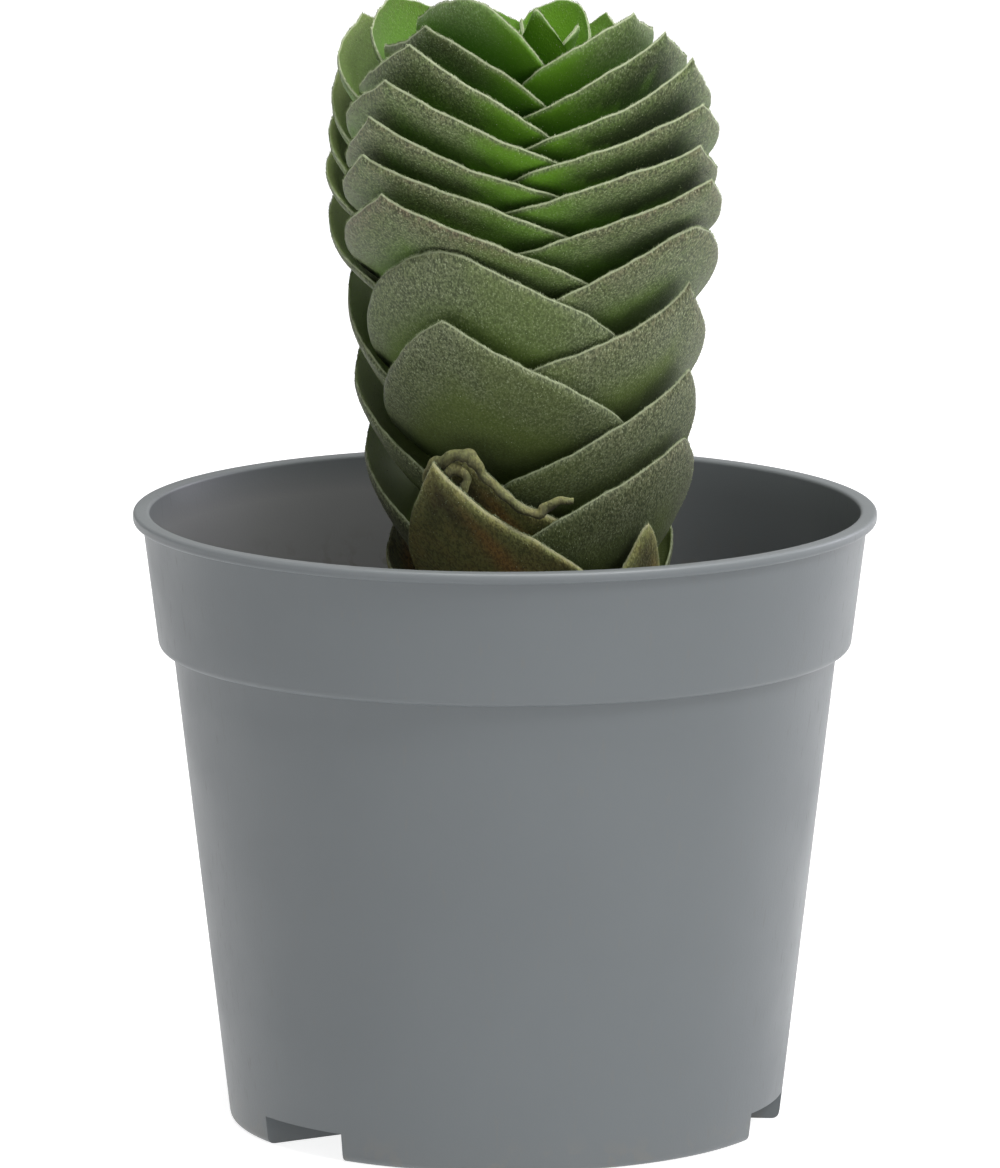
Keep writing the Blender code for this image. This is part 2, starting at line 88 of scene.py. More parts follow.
class Graph:
    """A node tree that is being filled: it adds nodes, sets their inputs and links them."""

    NOISE_ROUGHNESS = 0.55

    def __init__(self, tree: Tree) -> None:
        """Start on a tree."""
        self.tree = tree

    def node(self, kind: str, inputs: dict | None = None, **settings: object) -> Node:
        """Add a node.

        Args:
            kind: The node's type name.
            inputs: Values or outputs for its sockets, by socket name or number.
            settings: Values for its other properties.

        Returns:
            The new node.
        """
        made = self.tree.nodes.new(kind)
        for name, value in settings.items():
            setattr(made, name, value)
        for key, value in (inputs or {}).items():
            socket = made.inputs[key]
            if isinstance(value, Socket):
                self.tree.links.new(value, socket)
            elif isinstance(value, tuple) and socket.type == "RGBA":
                socket.default_value = (*value[:3], 1.0)
            else:
                socket.default_value = value
        return made

    def out(
        self, kind: str, inputs: dict | None = None, socket: str | int = 0, **settings: object
    ) -> Socket:
        """Add a node and return one of its outputs, which is the first where none is given."""
        return self.node(kind, inputs, **settings).outputs[socket]

    def maths(self, operation: str, first: Value, second: Value) -> Socket:
        """Add a Math node and return its output."""
        return self.out("ShaderNodeMath", {0: first, 1: second}, operation=operation)

    def times(self, first: Value, second: Value) -> Socket:
        """Multiply two values and return the output."""
        return self.maths("MULTIPLY", first, second)

    def mix(self, factor: Value, first: Value, second: Value) -> Socket:
        """Mix two colours and return the output."""
        inputs = {0: factor, 6: first, 7: second}
        return self.out("ShaderNodeMix", inputs, 2, data_type="RGBA", clamp_factor=True)

    def layers(self, colour: Value, *coats: tuple[Value, Value]) -> Value:
        """Lay coats over a colour, each a (factor, colour), and return the last output."""
        for factor, coat in coats:
            colour = self.mix(factor, colour, coat)
        return colour

    def span(self, value: Value, low: float, high: float, start: float = 0.0, end: float = 1.0) -> Socket:
        """Carry a value smoothly from one range to another and return the output."""
        inputs = {"Value": value, "From Min": low, "From Max": high, "To Min": start, "To Max": end}
        return self.out("ShaderNodeMapRange", inputs, interpolation_type="SMOOTHSTEP", clamp=True)

    def noise(self, place: Socket, scale: Value, detail: float = 3.0) -> Socket:
        """Add a noise texture and return its factor."""
        inputs = {"Vector": place, "Scale": scale, "Detail": detail, "Roughness": self.NOISE_ROUGHNESS}
        return self.out("ShaderNodeTexNoise", inputs, "Fac")

    def place(self, stretch: float = 1.0) -> Socket:
        """Read the object's own coordinates in metres, with its heights multiplied."""
        source = self.out("ShaderNodeTexCoord", socket="Object")
        return self.out("ShaderNodeMapping", {"Vector": source, "Scale": (1.0, 1.0, stretch)})

    def mark(self, name: str) -> Socket:
        """Read one of a piece's own measures that were kept on its points."""
        return self.out("ShaderNodeAttribute", socket="Fac", attribute_name=name)


def group_tree(name: str, kind: str, sockets: Iterable[tuple[str, str, str]], fill: Callable) -> Tree:
    """Give a node group's tree, and build it when it is first asked for.

    Args:
        name: The group's name.
        kind: The tree's type name.
        sockets: The group's own sockets in their order, as (way, name, type).
        fill: Takes the graph and the group's inputs, and gives what goes to its outputs.
    """
    found = bpy.data.node_groups.get(name)
    if found:
        return found
    tree = bpy.data.node_groups.new(name, kind)
    for way, label, sort in sockets:
        tree.interface.new_socket(name=label, in_out=way, socket_type=f"NodeSocket{sort}")
    graph = Graph(tree)
    graph.node("NodeGroupOutput", fill(graph, graph.node("NodeGroupInput").outputs))
    return tree


class Patches(NamedTuple):
    """Soft patches: how fine they are, and the noise at which they start and at which they are full."""

    scale: float
    low: float
    high: float


class Specks(NamedTuple):
    """Papillae in a skin: how fine they are, and what their heights are multiplied by."""

    scale: float
    stretch: float


class SharedEffect(Enum):
    """The shader groups that several finishes use."""

    PAPILLAE = "papillae"
    MOTTLE = "mottle"


class Effects:
    """Builds each shared shader group once and places it in a material's tree."""

    SOCKETS = {
        SharedEffect.PAPILLAE: (("Scale", "Stretch"), ("Light", "Dark", "Height")),
        SharedEffect.MOTTLE: (("Scale", "Low", "High"), ("Mask",)),
    }
    BUMP_WIDTH = (0.05, 0.55)
    LIGHT_CHOICE = (0.47, 0.62)
    DARK_CHOICE = (0.56, 0.42)
    CHOICE_SCALE = 0.75

    @classmethod
    def tree(cls, effect: SharedEffect) -> Tree:
        """Give the group's tree."""
        named = zip(("INPUT", "OUTPUT"), cls.SOCKETS[effect])
        sockets = [(way, name, "Float") for way, names in named for name in names]
        fill = {SharedEffect.PAPILLAE: cls.papillae, SharedEffect.MOTTLE: cls.mottle}[effect]
        return group_tree(effect.value, "ShaderNodeTree", sockets, fill)

    @classmethod
    def papillae(cls, graph: Graph, taken: Outputs) -> dict:
        """Scatter tiny pale bumps with dark gaps between them, drawn out a little along Z."""
        source = graph.out("ShaderNodeTexCoord", socket="Object")
        stretch = graph.out("ShaderNodeCombineXYZ", {"X": 1.0, "Y": 1.0, "Z": taken["Stretch"]})
        place = graph.out("ShaderNodeVectorMath", {0: source, 1: stretch}, operation="MULTIPLY")
        cells = graph.node("ShaderNodeTexVoronoi", {"Vector": place, "Scale": taken["Scale"]}, feature="F1")
        bump = graph.span(cells.outputs["Distance"], *cls.BUMP_WIDTH, 1.0, 0.0)
        chosen = graph.noise(place, graph.times(taken["Scale"], cls.CHOICE_SCALE), detail=2.0)
        light = graph.times(bump, graph.span(chosen, *cls.LIGHT_CHOICE))
        dark = graph.times(graph.maths("SUBTRACT", 1.0, bump), graph.span(chosen, *cls.DARK_CHOICE))
        return {"Light": light, "Dark": dark, "Height": bump}

    @staticmethod
    def mottle(graph: Graph, taken: Outputs) -> dict:
        """Lay soft patches over a surface."""
        source = graph.out("ShaderNodeTexCoord", socket="Object")
        value = graph.noise(source, taken["Scale"], detail=4.0)
        limits = {"Value": value, "From Min": taken["Low"], "From Max": taken["High"]}
        return {"Mask": graph.out("ShaderNodeMapRange", limits, clamp=True)}

    @classmethod
    def use(cls, graph: Graph, effect: SharedEffect, **values: Value) -> Outputs:
        """Place a group in a material's tree with its own values and return its outputs."""
        named = {name.capitalize(): value for name, value in values.items()}
        group = graph.node("ShaderNodeGroup", node_tree=cls.tree(effect))
        for name, value in named.items():
            group.inputs[name].default_value = value
        return group.outputs

    @classmethod
    def patched(cls, graph: Graph, patches: Patches) -> Socket:
        """Place soft patches in a material's tree and return their mask."""
        return cls.use(graph, SharedEffect.MOTTLE, **patches._asdict())["Mask"]


@dataclass(frozen=True)
class Finish:
    """A surface finish: its name, how rough it is and how deep its relief is in millimetres."""

    name: str
    roughness: float
    relief: float = 0.0
    relief_strength: float = 0.8

    def start(self) -> tuple[Material, Graph, Node]:
        """Make the material and give its tree and its shader."""
        material = bpy.data.materials.new(self.name)
        material.use_nodes = True
        shader = material.node_tree.nodes["Principled BSDF"]
        shader.inputs["Roughness"].default_value = self.roughness
        return material, Graph(material.node_tree), shader

    @staticmethod
    def connect(graph: Graph, shader: Node, **values: Socket) -> None:
        """Link outputs to the shader's inputs, whose names are given with underscores."""
        for name, value in values.items():
            graph.tree.links.new(value, shader.inputs[name.replace("_", " ").title()])

    def bump(self, graph: Graph, height: Socket) -> Socket:
        """Turn a height from 0 to 1 into a normal."""
        inputs = {"Height": height, "Distance": self.relief * MM, "Strength": self.relief_strength}
        return graph.out("ShaderNodeBump", inputs)


@dataclass(frozen=True)
class LeafSkin(Finish):
    """Matte succulent skin: frosted grey-green, fresher green where sheltered, blushed at old tips, with
    painted shade above lower leaves' margins and painted light on older leaves' inner faces.

    A pair of values over the age is for the youngest leaves and then for the oldest.
    """

    sheltered: Colour = (0.085, 0.215, 0.008)
    old_sheltered: Colour = (0.1, 0.14, 0.03)
    # Painted light: a lighter green laid on older leaves' inner faces in place of light passing through the
    # leaf.
    inner: Colour = (0.38, 0.5, 0.15)
    crown: Colour = (0.21, 0.36, 0.1)
    exposed: Colour = (0.115, 0.16, 0.055)
    aged: Colour = (0.135, 0.155, 0.082)
    blush: Colour = (0.13, 0.09, 0.055)
    frost: Colour = (0.42, 0.47, 0.3)
    pit: Colour = (0.012, 0.022, 0.004)
    # Painted shade: the near-black green laid in the gaps above lower leaves' margins.
    crevice: Colour = (0.006, 0.014, 0.002)
    crown_ages: Span = (0.1, 0.2)
    turning_ages: Span = (0.5, 0.8)
    sheen: float = 0.04
    sheen_roughness: float = 0.6
    patches: Patches = Patches(210.0, 0.35, 0.68)
    patch_share: float = 0.3
    blush_patches: Patches = Patches(900.0, 0.38, 0.62)
    blush_shares: Span = (0.45, 1.0)
    specks: Specks = Specks(3500.0, 0.55)
    calm_share: float = 0.85
    pit_ages: Span = (0.1, 0.3)
    pit_shares: Span = (0.35, 0.75)
    frost_share: float = 0.65
    edge_width: Span = (0.05, 0.32)
    edge_share: float = 0.8
    edge_ages: Span = (0.2, 1.0)
    edge_fade: Span = (1.0, 0.6)
    gloss: Span = (0.35, 0.08)
    relief: float = 0.07
    relief_strength: float = 0.7

    def make(self) -> Material:
        """Build the material."""
        material, graph, shader = self.start()
        shader.inputs["Sheen Weight"].default_value = self.sheen
        shader.inputs["Sheen Roughness"].default_value = self.sheen_roughness
        age = graph.mark("age")
        green = graph.mix(graph.span(age, *self.turning_ages), self.sheltered, self.old_sheltered)
        patches = Effects.patched(graph, self.patches)
        shelter = graph.mark("shelter")
        stain = Effects.patched(graph, self.blush_patches)
        blushed = graph.times(graph.mark("blush"), graph.span(stain, 0.0, 1.0, *self.blush_shares))
        specks = Effects.use(graph, SharedEffect.PAPILLAE, **self.specks._asdict())
        openness = graph.maths("SUBTRACT", 1.0, graph.times(shelter, self.calm_share))
        pitted = graph.times(openness, graph.span(age, *self.pit_ages, *self.pit_shares))
        frosted = graph.times(openness, self.frost_share)
        edge = graph.span(graph.mark("rim"), *self.edge_width, self.edge_share, 0.0)
        edge = graph.times(edge, graph.span(age, *self.edge_ages, *self.edge_fade))
        skin = graph.layers(
            self.exposed,
            (age, self.aged),
            (graph.span(age, *self.crown_ages, 1.0, 0.0), self.crown),
            (graph.times(patches, self.patch_share), green),
            (shelter, green),
            (blushed, self.blush),
            (graph.times(specks["Dark"], pitted), self.pit),
            (graph.times(specks["Light"], frosted), self.frost),
            # painted light on the inner faces of older leaves
            (graph.mark("inner"), self.inner),
            # painted shade in the gaps above lower leaves' margins
            (graph.mark("crevice"), self.crevice),
            (edge, self.frost),
        )
        gloss = graph.span(shelter, 0.0, 1.0, *self.gloss)
        graph.tree.links.new(gloss, shader.inputs["Specular IOR Level"])
        normal = self.bump(graph, specks["Height"])
        self.connect(graph, shader, base_color=skin, normal=normal)
        return material


@dataclass(frozen=True)
class DrySkin(Finish):
    """Withered leaf: yellow-olive with brown edges, a dark stain and frosted specks, with painted shade in
    the gaps above lower leaves' margins and under its curled rolls.
    """

    body: Colour = (0.25, 0.27, 0.09)
    rust: Colour = (0.45, 0.25, 0.075)
    dark: Colour = (0.02, 0.016, 0.01)
    frost: Colour = (0.4, 0.39, 0.24)
    sheen: float = 0.04
    patches: Patches = Patches(260.0, 0.4, 0.65)
    patch_share: float = 0.16
    streak_share: float = 0.8
    pit_share: float = 0.45
    frost_share: float = 0.3
    edge_width: Span = (0.1, 0.5)
    edge_share: float = 0.6
    specks: Specks = Specks(2600.0, 0.55)
    relief: float = 0.09

    def make(self) -> Material:
        """Build the material."""
        material, graph, shader = self.start()
        shader.inputs["Sheen Weight"].default_value = self.sheen
        patches = Effects.patched(graph, self.patches)
        specks = Effects.use(graph, SharedEffect.PAPILLAE, **self.specks._asdict())
        skin = graph.layers(
            self.body,
            (graph.times(patches, self.patch_share), self.rust),
            (graph.times(graph.mark("streak"), self.streak_share), self.rust),
            (graph.times(specks["Dark"], self.pit_share), self.dark),
            (graph.times(specks["Light"], self.frost_share), self.frost),
            (graph.mark("stain"), self.dark),
            # painted shade in the gaps above lower margins and under the curled rolls
            (graph.mark("crevice"), self.dark),
            (graph.span(graph.mark("rim"), *self.edge_width, self.edge_share, 0.0), self.frost),
        )
        normal = self.bump(graph, specks["Height"])
        self.connect(graph, shader, base_color=skin, normal=normal)
        return material


@dataclass(frozen=True)
class HairFinish(Finish):
    """Frosted papillae and margin hairs: pale grey-green, almost white at the tips."""

    pale: Colour = (0.42, 0.48, 0.29)
    tinted: Colour = (0.1, 0.14, 0.045)
    tint_scale: float = 700.0
    tint_choice: Span = (0.35, 0.65)

    def make(self) -> Material:
        """Build the material."""
        material, graph, shader = self.start()
        value = graph.noise(graph.place(), self.tint_scale, detail=2.0)
        colour = graph.mix(graph.span(value, *self.tint_choice), self.tinted, self.pale)
        self.connect(graph, shader, base_color=colour)
        return material


@dataclass(frozen=True)
class MouldedPlastic(Finish):
    """Grey moulded plastic with a faint grain, handling marks, dust near the soil, painted light on the inner
    wall and a paler lip top that is partly wear and partly painted highlight.
    """

    base: Colour = (0.108, 0.121, 0.128)
    shade: Colour = (0.1, 0.111, 0.118)
    # A paler band along the lip's top: partly rubbed wear, partly painted highlight.
    worn: Colour = (0.22, 0.235, 0.24)
    # Painted light: the paler colour laid on the inner wall, strongest on its left side.
    film: Colour = (0.27, 0.274, 0.275)
    dust: Colour = (0.15, 0.138, 0.115)
    specular: float = 0.45
    cloud: Patches = Patches(34.0, 0.3, 0.7)
    cloud_share: float = 0.3
    scuff_scale: float = 1400.0
    scuff_stretch: float = 0.12
    scuff_choice: Span = (0.6, 0.74)
    scuff_share: float = 0.18
    film_share: float = 0.9
    splash: Patches = Patches(260.0, 0.52, 0.62)
    dust_shares: Span = (0.15, 0.9)
    rough_marks: float = 1.6
    rough_span: Span = (-0.05, 0.12)
    grain_scale: float = 2600.0
    relief: float = 0.03
    relief_strength: float = 0.5

    def make(self) -> Material:
        """Build the material."""
        material, graph, shader = self.start()
        shader.inputs["Specular IOR Level"].default_value = self.specular
        cloud = Effects.patched(graph, self.cloud)
        scuffs = graph.noise(graph.place(self.scuff_stretch), self.scuff_scale, detail=3.0)
        scuffed = graph.span(scuffs, *self.scuff_choice)
        splash = Effects.patched(graph, self.splash)
        soiled = graph.times(graph.mark("dust"), graph.span(splash, 0.0, 1.0, *self.dust_shares))
        colour = graph.layers(
            self.base,
            (graph.times(cloud, self.cloud_share), self.shade),
            (graph.times(scuffed, self.scuff_share), self.dust),
            # painted light on the inner wall, strongest on the left
            (graph.times(graph.mark("film"), self.film_share), self.film),
            # paler lip top: partly wear, partly painted highlight
            (graph.mark("worn"), self.worn),
            (soiled, self.dust),
        )
        grain = graph.noise(graph.place(), self.grain_scale, detail=2.0)
        limits = [self.roughness + change for change in self.rough_span]
        rough = graph.span(graph.maths("ADD", cloud, scuffed), 0.0, self.rough_marks, *limits)
        normal = self.bump(graph, grain)
        self.connect(graph, shader, base_color=colour, roughness=rough, normal=normal)
        return material


@dataclass(frozen=True)
class EarthFinish(Finish):
    """Potting soil and its grains: a base colour broken by fine lighter and darker specks."""

    dark: Colour = (0.018, 0.012, 0.008)
    brown: Colour = (0.06, 0.04, 0.026)
    speck: Colour = (0.15, 0.11, 0.075)
    scale: float = 900.0
    clod_choice: Span = (0.35, 0.65)
    fineness: float = 4.0
    speck_choice: Span = (0.62, 0.72)
    relief: float = 0.25

    def make(self) -> Material:
        """Build the material."""
        material, graph, shader = self.start()
        clods = Effects.patched(graph, Patches(self.scale, *self.clod_choice))
        fine = graph.noise(graph.place(), self.scale * self.fineness, detail=3.0)
        specks = graph.span(fine, *self.speck_choice)
        colour = graph.layers(self.dark, (clods, self.brown), (specks, self.speck))
        self.connect(graph, shader, base_color=colour, normal=self.bump(graph, fine))
        return material


@dataclass(frozen=True)
class StemSkin(Finish):
    """Green-brown stem skin, corky where old leaf bases ring it and fresh green at the growing tip."""

    green: Colour = (0.13, 0.16, 0.05)
    cork: Colour = (0.12, 0.085, 0.05)
    fresh: Colour = (0.14, 0.27, 0.03)
    streak_scale: float = 900.0
    streak_stretch: float = 0.25
    cork_choice: Span = (0.4, 0.62)
    relief: float = 0.2

    def make(self) -> Material:
        """Build the material."""
        material, graph, shader = self.start()
        streaks = graph.noise(graph.place(self.streak_stretch), self.streak_scale, detail=4.0)
        corky = graph.span(streaks, *self.cork_choice)
        scar, young = graph.mark("scar"), graph.mark("young")
        colour = graph.layers(self.green, (corky, self.cork), (scar, self.cork), (young, self.fresh))
        self.connect(graph, shader, base_color=colour, normal=self.bump(graph, streaks))
        return material


@dataclass(frozen=True)
class PaleFloor(Finish):
    """Plain pale studio floor with a barely visible tooth."""

    tone: Colour = (0.55, 0.55, 0.55)
    tooth_tone: Colour = (0.5, 0.5, 0.5)
    tooth_scale: float = 40.0
    tooth_share: float = 0.1
    glow: float = 0.85

    def make(self) -> Material:
        """Build the material."""
        material, graph, shader = self.start()
        tooth = graph.noise(graph.place(), self.tooth_scale, detail=2.0)
        tone = graph.mix(graph.times(tooth, self.tooth_share), self.tone, self.tooth_tone)
        shader.inputs["Emission Color"].default_value = (1.0, 1.0, 1.0, 1.0)
        shader.inputs["Emission Strength"].default_value = self.glow
        self.connect(graph, shader, base_color=tone)
        return material


def new_object(name: str, mesh: Mesh, material: Material | None = None) -> Thing:
    """Put a mesh into the scene as an object, with a material where one is given."""
    if material:
        mesh.materials.clear()
        mesh.materials.append(material)
    made = bpy.data.objects.new(name, mesh)
    bpy.context.scene.collection.objects.link(made)
    return made


def solid_mesh(
    name: str, points: Array, faces: Sequence[Sequence[int]], sharp: float | None = None
) -> Mesh:
    """Make a closed mesh whose faces point outward.

    Args:
        name: The mesh's name.
        points: Places in millimetres.
        faces: Point numbers of each face, wound the same way all over.
        sharp: The angle in degrees past which an edge stays crisp, or None for smooth all over.

    Returns:
        The mesh, in metres.
    """
    triangles = np.array([(f[0], f[k], f[k + 1]) for f in faces for k in range(1, len(f) - 1)])
    a, b, c = (points[triangles[:, k]] for k in range(3))
    if np.einsum("ij,ij->i", a, np.cross(b, c)).sum() < 0.0:
        faces = [tuple(reversed(f)) for f in faces]
    mesh = bpy.data.meshes.new(name)
    mesh.from_pydata((points * MM).tolist(), [], [tuple(map(int, f)) for f in faces])
    mesh.shade_smooth()
    if sharp is not None:
        mesh.set_sharp_from_angle(angle=radians(sharp))
    mesh.update()
    return mesh


def places_of(mesh: Mesh) -> Array:
    """Give the places of a mesh's points in metres."""
    places = np.empty(len(mesh.vertices) * 3, np.float32)
    mesh.vertices.foreach_get("co", places)
    return places.reshape(-1, 3)


def keep_marks(mesh: Mesh, marks: dict[str, Array]) -> None:
    """Keep measures on a mesh's points, by name."""
    for name, values in marks.items():
        kept = mesh.attributes.new(name, "FLOAT_VECTOR" if values.ndim == 2 else "FLOAT", "POINT")
        kept.data.foreach_set("vector" if values.ndim == 2 else "value", values.astype(np.float32).ravel())


def plain_copy(source: Thing, name: str) -> Mesh:
    """Turn an object with its modifiers into a plain mesh and remove the object."""
    graph = bpy.context.evaluated_depsgraph_get()
    mesh = bpy.data.meshes.new_from_object(source.evaluated_get(graph), depsgraph=graph)
    mesh.name = name
    source.modifiers.clear()
    bpy.data.objects.remove(source, do_unlink=True)
    return mesh


def finish_piece(piece: Thing, slot: str, *nodes: str) -> Thing:
    """Hide the nodes that a piece stands for, put it in its body, and report its triangles."""
    if nodes:
        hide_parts(*nodes)
    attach(piece, BODY)
    triangles = sum(len(face.vertices) - 2 for face in piece.data.polygons)
    LOG.info("%s: %d triangles", piece.name, triangles)
    return piece


class Growth(Enum):
    """What is grown over a surface or along a path."""

    FUZZ = "surface_fuzz"
    FRINGE = "margin_fringe"
    CRUMBS = "crumb_scatter"


class Grower:
    """Geometry Nodes trees that repeat a small shape, each built once with named inputs."""

    FLOATS = {
        Growth.FUZZ: ("Density", "Height", "Foot"),
        Growth.FRINGE: ("Spacing", "Height", "Foot"),
        Growth.CRUMBS: ("Density", "Smallest", "Largest"),
    }
    FULL_TURN = 6.283
    FUZZ_SCALES = (0.6, 1.3)
    FRINGE_SCALES = (0.55, 1.25)
    STRAY = 0.5

    @classmethod
    def tree(cls, growth: Growth) -> Tree:
        """Give the tree of a growth."""
        place = {Growth.FUZZ: cls.fuzz, Growth.FRINGE: cls.fringe, Growth.CRUMBS: cls.crumbs}[growth]

        def fill(graph: Graph, taken: Outputs) -> dict:
            """Place the small shapes, make them real and give them their finish."""
            shapes = {"Geometry": place(graph, taken)}
            real = graph.out("GeometryNodeRealizeInstances", shapes)
            dressed = {"Geometry": real, "Material": taken["Finish"]}
            return {"Geometry": graph.out("GeometryNodeSetMaterial", dressed)}

        sockets = [("OUTPUT", "Geometry", "Geometry"), ("INPUT", "Geometry", "Geometry")]
        sockets += [("INPUT", name, "Float") for name in cls.FLOATS[growth]]
        sockets += [("INPUT", "Seed", "Int"), ("INPUT", "Finish", "Material")]
        return group_tree(growth.value, "GeometryNodeTree", sockets, fill)

    @staticmethod
    def spike(graph: Graph, taken: Outputs) -> Socket:
        """Make one three-sided hair that stands on its closed foot."""
        sizes = {"Vertices": 3, "Radius Top": 0.0, "Radius Bottom": taken["Foot"], "Depth": taken["Height"]}
        return graph.out("GeometryNodeMeshCone", sizes, fill_type="NGON")

    @staticmethod
    def chance(graph: Graph, low: Value, high: Value, seed: Value) -> Socket:
        """Draw one number for each point."""
        limits = {2: low, 3: high, "Seed": seed}
        return graph.out("FunctionNodeRandomValue", limits, 1, data_type="FLOAT")

    @staticmethod
    def chances(graph: Graph, low: float, high: float, seed: Value) -> Socket:
        """Draw three numbers for each point."""
        limits = {0: (low,) * 3, 1: (high,) * 3, "Seed": seed}
        return graph.out("FunctionNodeRandomValue", limits, data_type="FLOAT_VECTOR")

    @staticmethod
    def kept(graph: Graph, name: str, kind: str) -> Socket:
        """Read a measure that was kept on the carrier's points."""
        return graph.out("GeometryNodeInputNamedAttribute", {"Name": name}, data_type=kind)

    @classmethod
    def scattered(cls, graph: Graph, taken: Outputs) -> Node:
        """Scatter points on the surface, as close together as its own fuzz measure says."""
        density = graph.times(cls.kept(graph, "fuzz", "FLOAT"), taken["Density"])
        inputs = {"Mesh": taken["Geometry"], "Density": density, "Seed": taken["Seed"]}
        return graph.node("GeometryNodeDistributePointsOnFaces", inputs, distribute_method="RANDOM")

    @classmethod
    def fuzz(cls, graph: Graph, taken: Outputs) -> Socket:
        """Stand a small hair on each scattered point."""
        points = cls.scattered(graph, taken)
        inputs = {
            "Points": points.outputs["Points"],
            "Instance": cls.spike(graph, taken),
            "Rotation": points.outputs["Rotation"],
            "Scale": cls.chance(graph, *cls.FUZZ_SCALES, taken["Seed"]),
        }
        return graph.out("GeometryNodeInstanceOnPoints", inputs)

    @classmethod
    def fringe(cls, graph: Graph, taken: Outputs) -> Socket:
        """Stand hairs in a row along each path, pointing the way that its points say."""
        path = graph.out("GeometryNodeMeshToCurve", {"Mesh": taken["Geometry"]})
        inputs = {"Curve": path, "Length": taken["Spacing"]}
        row = graph.out("GeometryNodeResampleCurve", inputs, mode="LENGTH")
        way = cls.kept(graph, "way", "FLOAT_VECTOR")
        stray = cls.chances(graph, -cls.STRAY, cls.STRAY, taken["Seed"])
        aim = graph.out("ShaderNodeVectorMath", {0: way, 1: stray}, operation="ADD")
        turned = graph.out("FunctionNodeAlignRotationToVector", {"Vector": aim}, axis="Z")
        placed = {
            "Points": row,
            "Instance": cls.spike(graph, taken),
            "Rotation": turned,
            "Scale": cls.chance(graph, *cls.FRINGE_SCALES, taken["Seed"]),
        }
        return graph.out("GeometryNodeInstanceOnPoints", placed)

    @classmethod
    def crumbs(cls, graph: Graph, taken: Outputs) -> Socket:
        """Drop rough grains of mixed size and turn on each scattered point."""
        points = cls.scattered(graph, taken)
        grain = graph.out("GeometryNodeMeshIcoSphere", {"Radius": 1.0, "Subdivisions": 1})
        turn = cls.chances(graph, 0.0, cls.FULL_TURN, taken["Seed"])
        seeds = [graph.maths("ADD", taken["Seed"], number) for number in (1.0, 2.0, 3.0)]
        sides = [cls.chance(graph, taken["Smallest"], taken["Largest"], seed) for seed in seeds]
        size = graph.out("ShaderNodeCombineXYZ", dict(zip("XYZ", sides)))
        inputs = {"Points": points.outputs["Points"], "Instance": grain, "Rotation": turn, "Scale": size}
        return graph.out("GeometryNodeInstanceOnPoints", inputs)

    @classmethod
    def grow(
        cls, growth: Growth, name: str, carrier: Mesh, material: Material, seed: int, **sizes: float
    ) -> Thing:
        """Grow small shapes over a carrier mesh and keep them as one plain piece.

        Args:
            growth: What is grown.
            name: The piece's name.
            carrier: The mesh that it grows on, which isn't kept.
            material: The finish of what is grown.
            seed: Fixes the random draws.
            sizes: The tree's own inputs in metres, or per square metre, by lower-case name.

        Returns:
            The new piece.
        """
        tree = cls.tree(growth)
        holder = new_object(f"{name}_carrier", carrier)
        modifier = holder.modifiers.new(name, "NODES")
        modifier.node_group = tree
        values = {"Seed": seed, "Finish": material, **{k.capitalize(): float(v) for k, v in sizes.items()}}
        for item in tree.interface.items_tree:
            if item.in_out == "INPUT" and item.name in values:
                modifier[item.identifier] = values[item.name]
        piece = new_object(name, plain_copy(holder, name), material)
        bpy.data.meshes.remove(carrier)
        return piece


class Side(Enum):
    """Which leaf of a pair it is."""

    FRONT = "front"
    BACK = "back"


@dataclass(frozen=True)
class Pair:
    """One pair of opposite leaves: heights and reach, and the front leaf's azimuth in degrees."""

    base: float
    tip: float
    reach: float
    turn: float


@dataclass(frozen=True)
class Stem:
    """The stem: its route as rows of (height, x of the axis), its radii and its leaf scars."""

    route: Table = (
        (54.0, 5.2), (74.0, 4.6), (105.0, 3.6), (131.0, 2.8), (145.0, 3.0), (156.0, 3.8), (165.0, 5.8),
        (174.0, 8.4),
    )
    foot: float = 52.55
    top: float = 172.9
    foot_radius: float = 4.0
    top_radius: float = 1.8
    tip_length: float = 1.5
    young_length: float = 8.0
    scar_drop: float = 1.5
    scar_depth: float = 0.18
    scar_width: float = 0.7
    ridges: Table = ((0.02, 5.0, 1.0), (0.015, 9.0, -0.6))
    crisp_angle: float = 40.0
    sides: int = 40
    rings: int = 190

    def axis(self, height: float) -> float:
        """Give the x of the axis at a height."""
        return station(self.route, height)

    def radius(self, height: float) -> float:
        """Give the radius at a height."""
        share = (height - self.route[0][0]) / (self.top - self.route[0][0])
        return self.foot_radius + (self.top_radius - self.foot_radius) * share

    def build(self, material: Material, scars: Sequence[float]) -> Thing:
        """Build the stem as a tapering tube with a shallow ring below each leaf pair."""
        heights = np.linspace(self.foot, self.top, self.rings)
        turns = full_turn(self.sides)
        rows, scarred = [], []
        for height in heights:
            near = min(abs(height - scar) for scar in scars)
            scar = float(np.exp(-((near / self.scar_width) ** 2)))
            cap = min(1.0, (self.top - height) / self.tip_length)
            radius = self.radius(height) * (0.5 + 0.5 * np.sqrt(cap * (2.0 - cap))) - self.scar_depth * scar
            waves = (size * np.sin(count * turns + twist * height) for size, count, twist in self.ridges)
            rows.append(ring_of(turns, radius * sum(waves, 1.0), height, self.axis(height)))
            scarred += [scar] * self.sides
        points = np.concatenate(rows)
        mesh = solid_mesh("stem_core", points, tube_faces(self.rings, self.sides), self.crisp_angle)
        young = smooth(points[:, 2], self.top - self.young_length, self.top - self.tip_length)
        keep_marks(mesh, {"scar": np.array(scarred), "young": young})
        return finish_piece(new_object("stem_core", mesh, material), "stem_skin", "stem")


def full_turn(sides: int) -> Array:
    """Give the angles of evenly spaced places once round."""
    return np.linspace(0.0, 2.0 * pi, sides, endpoint=False)


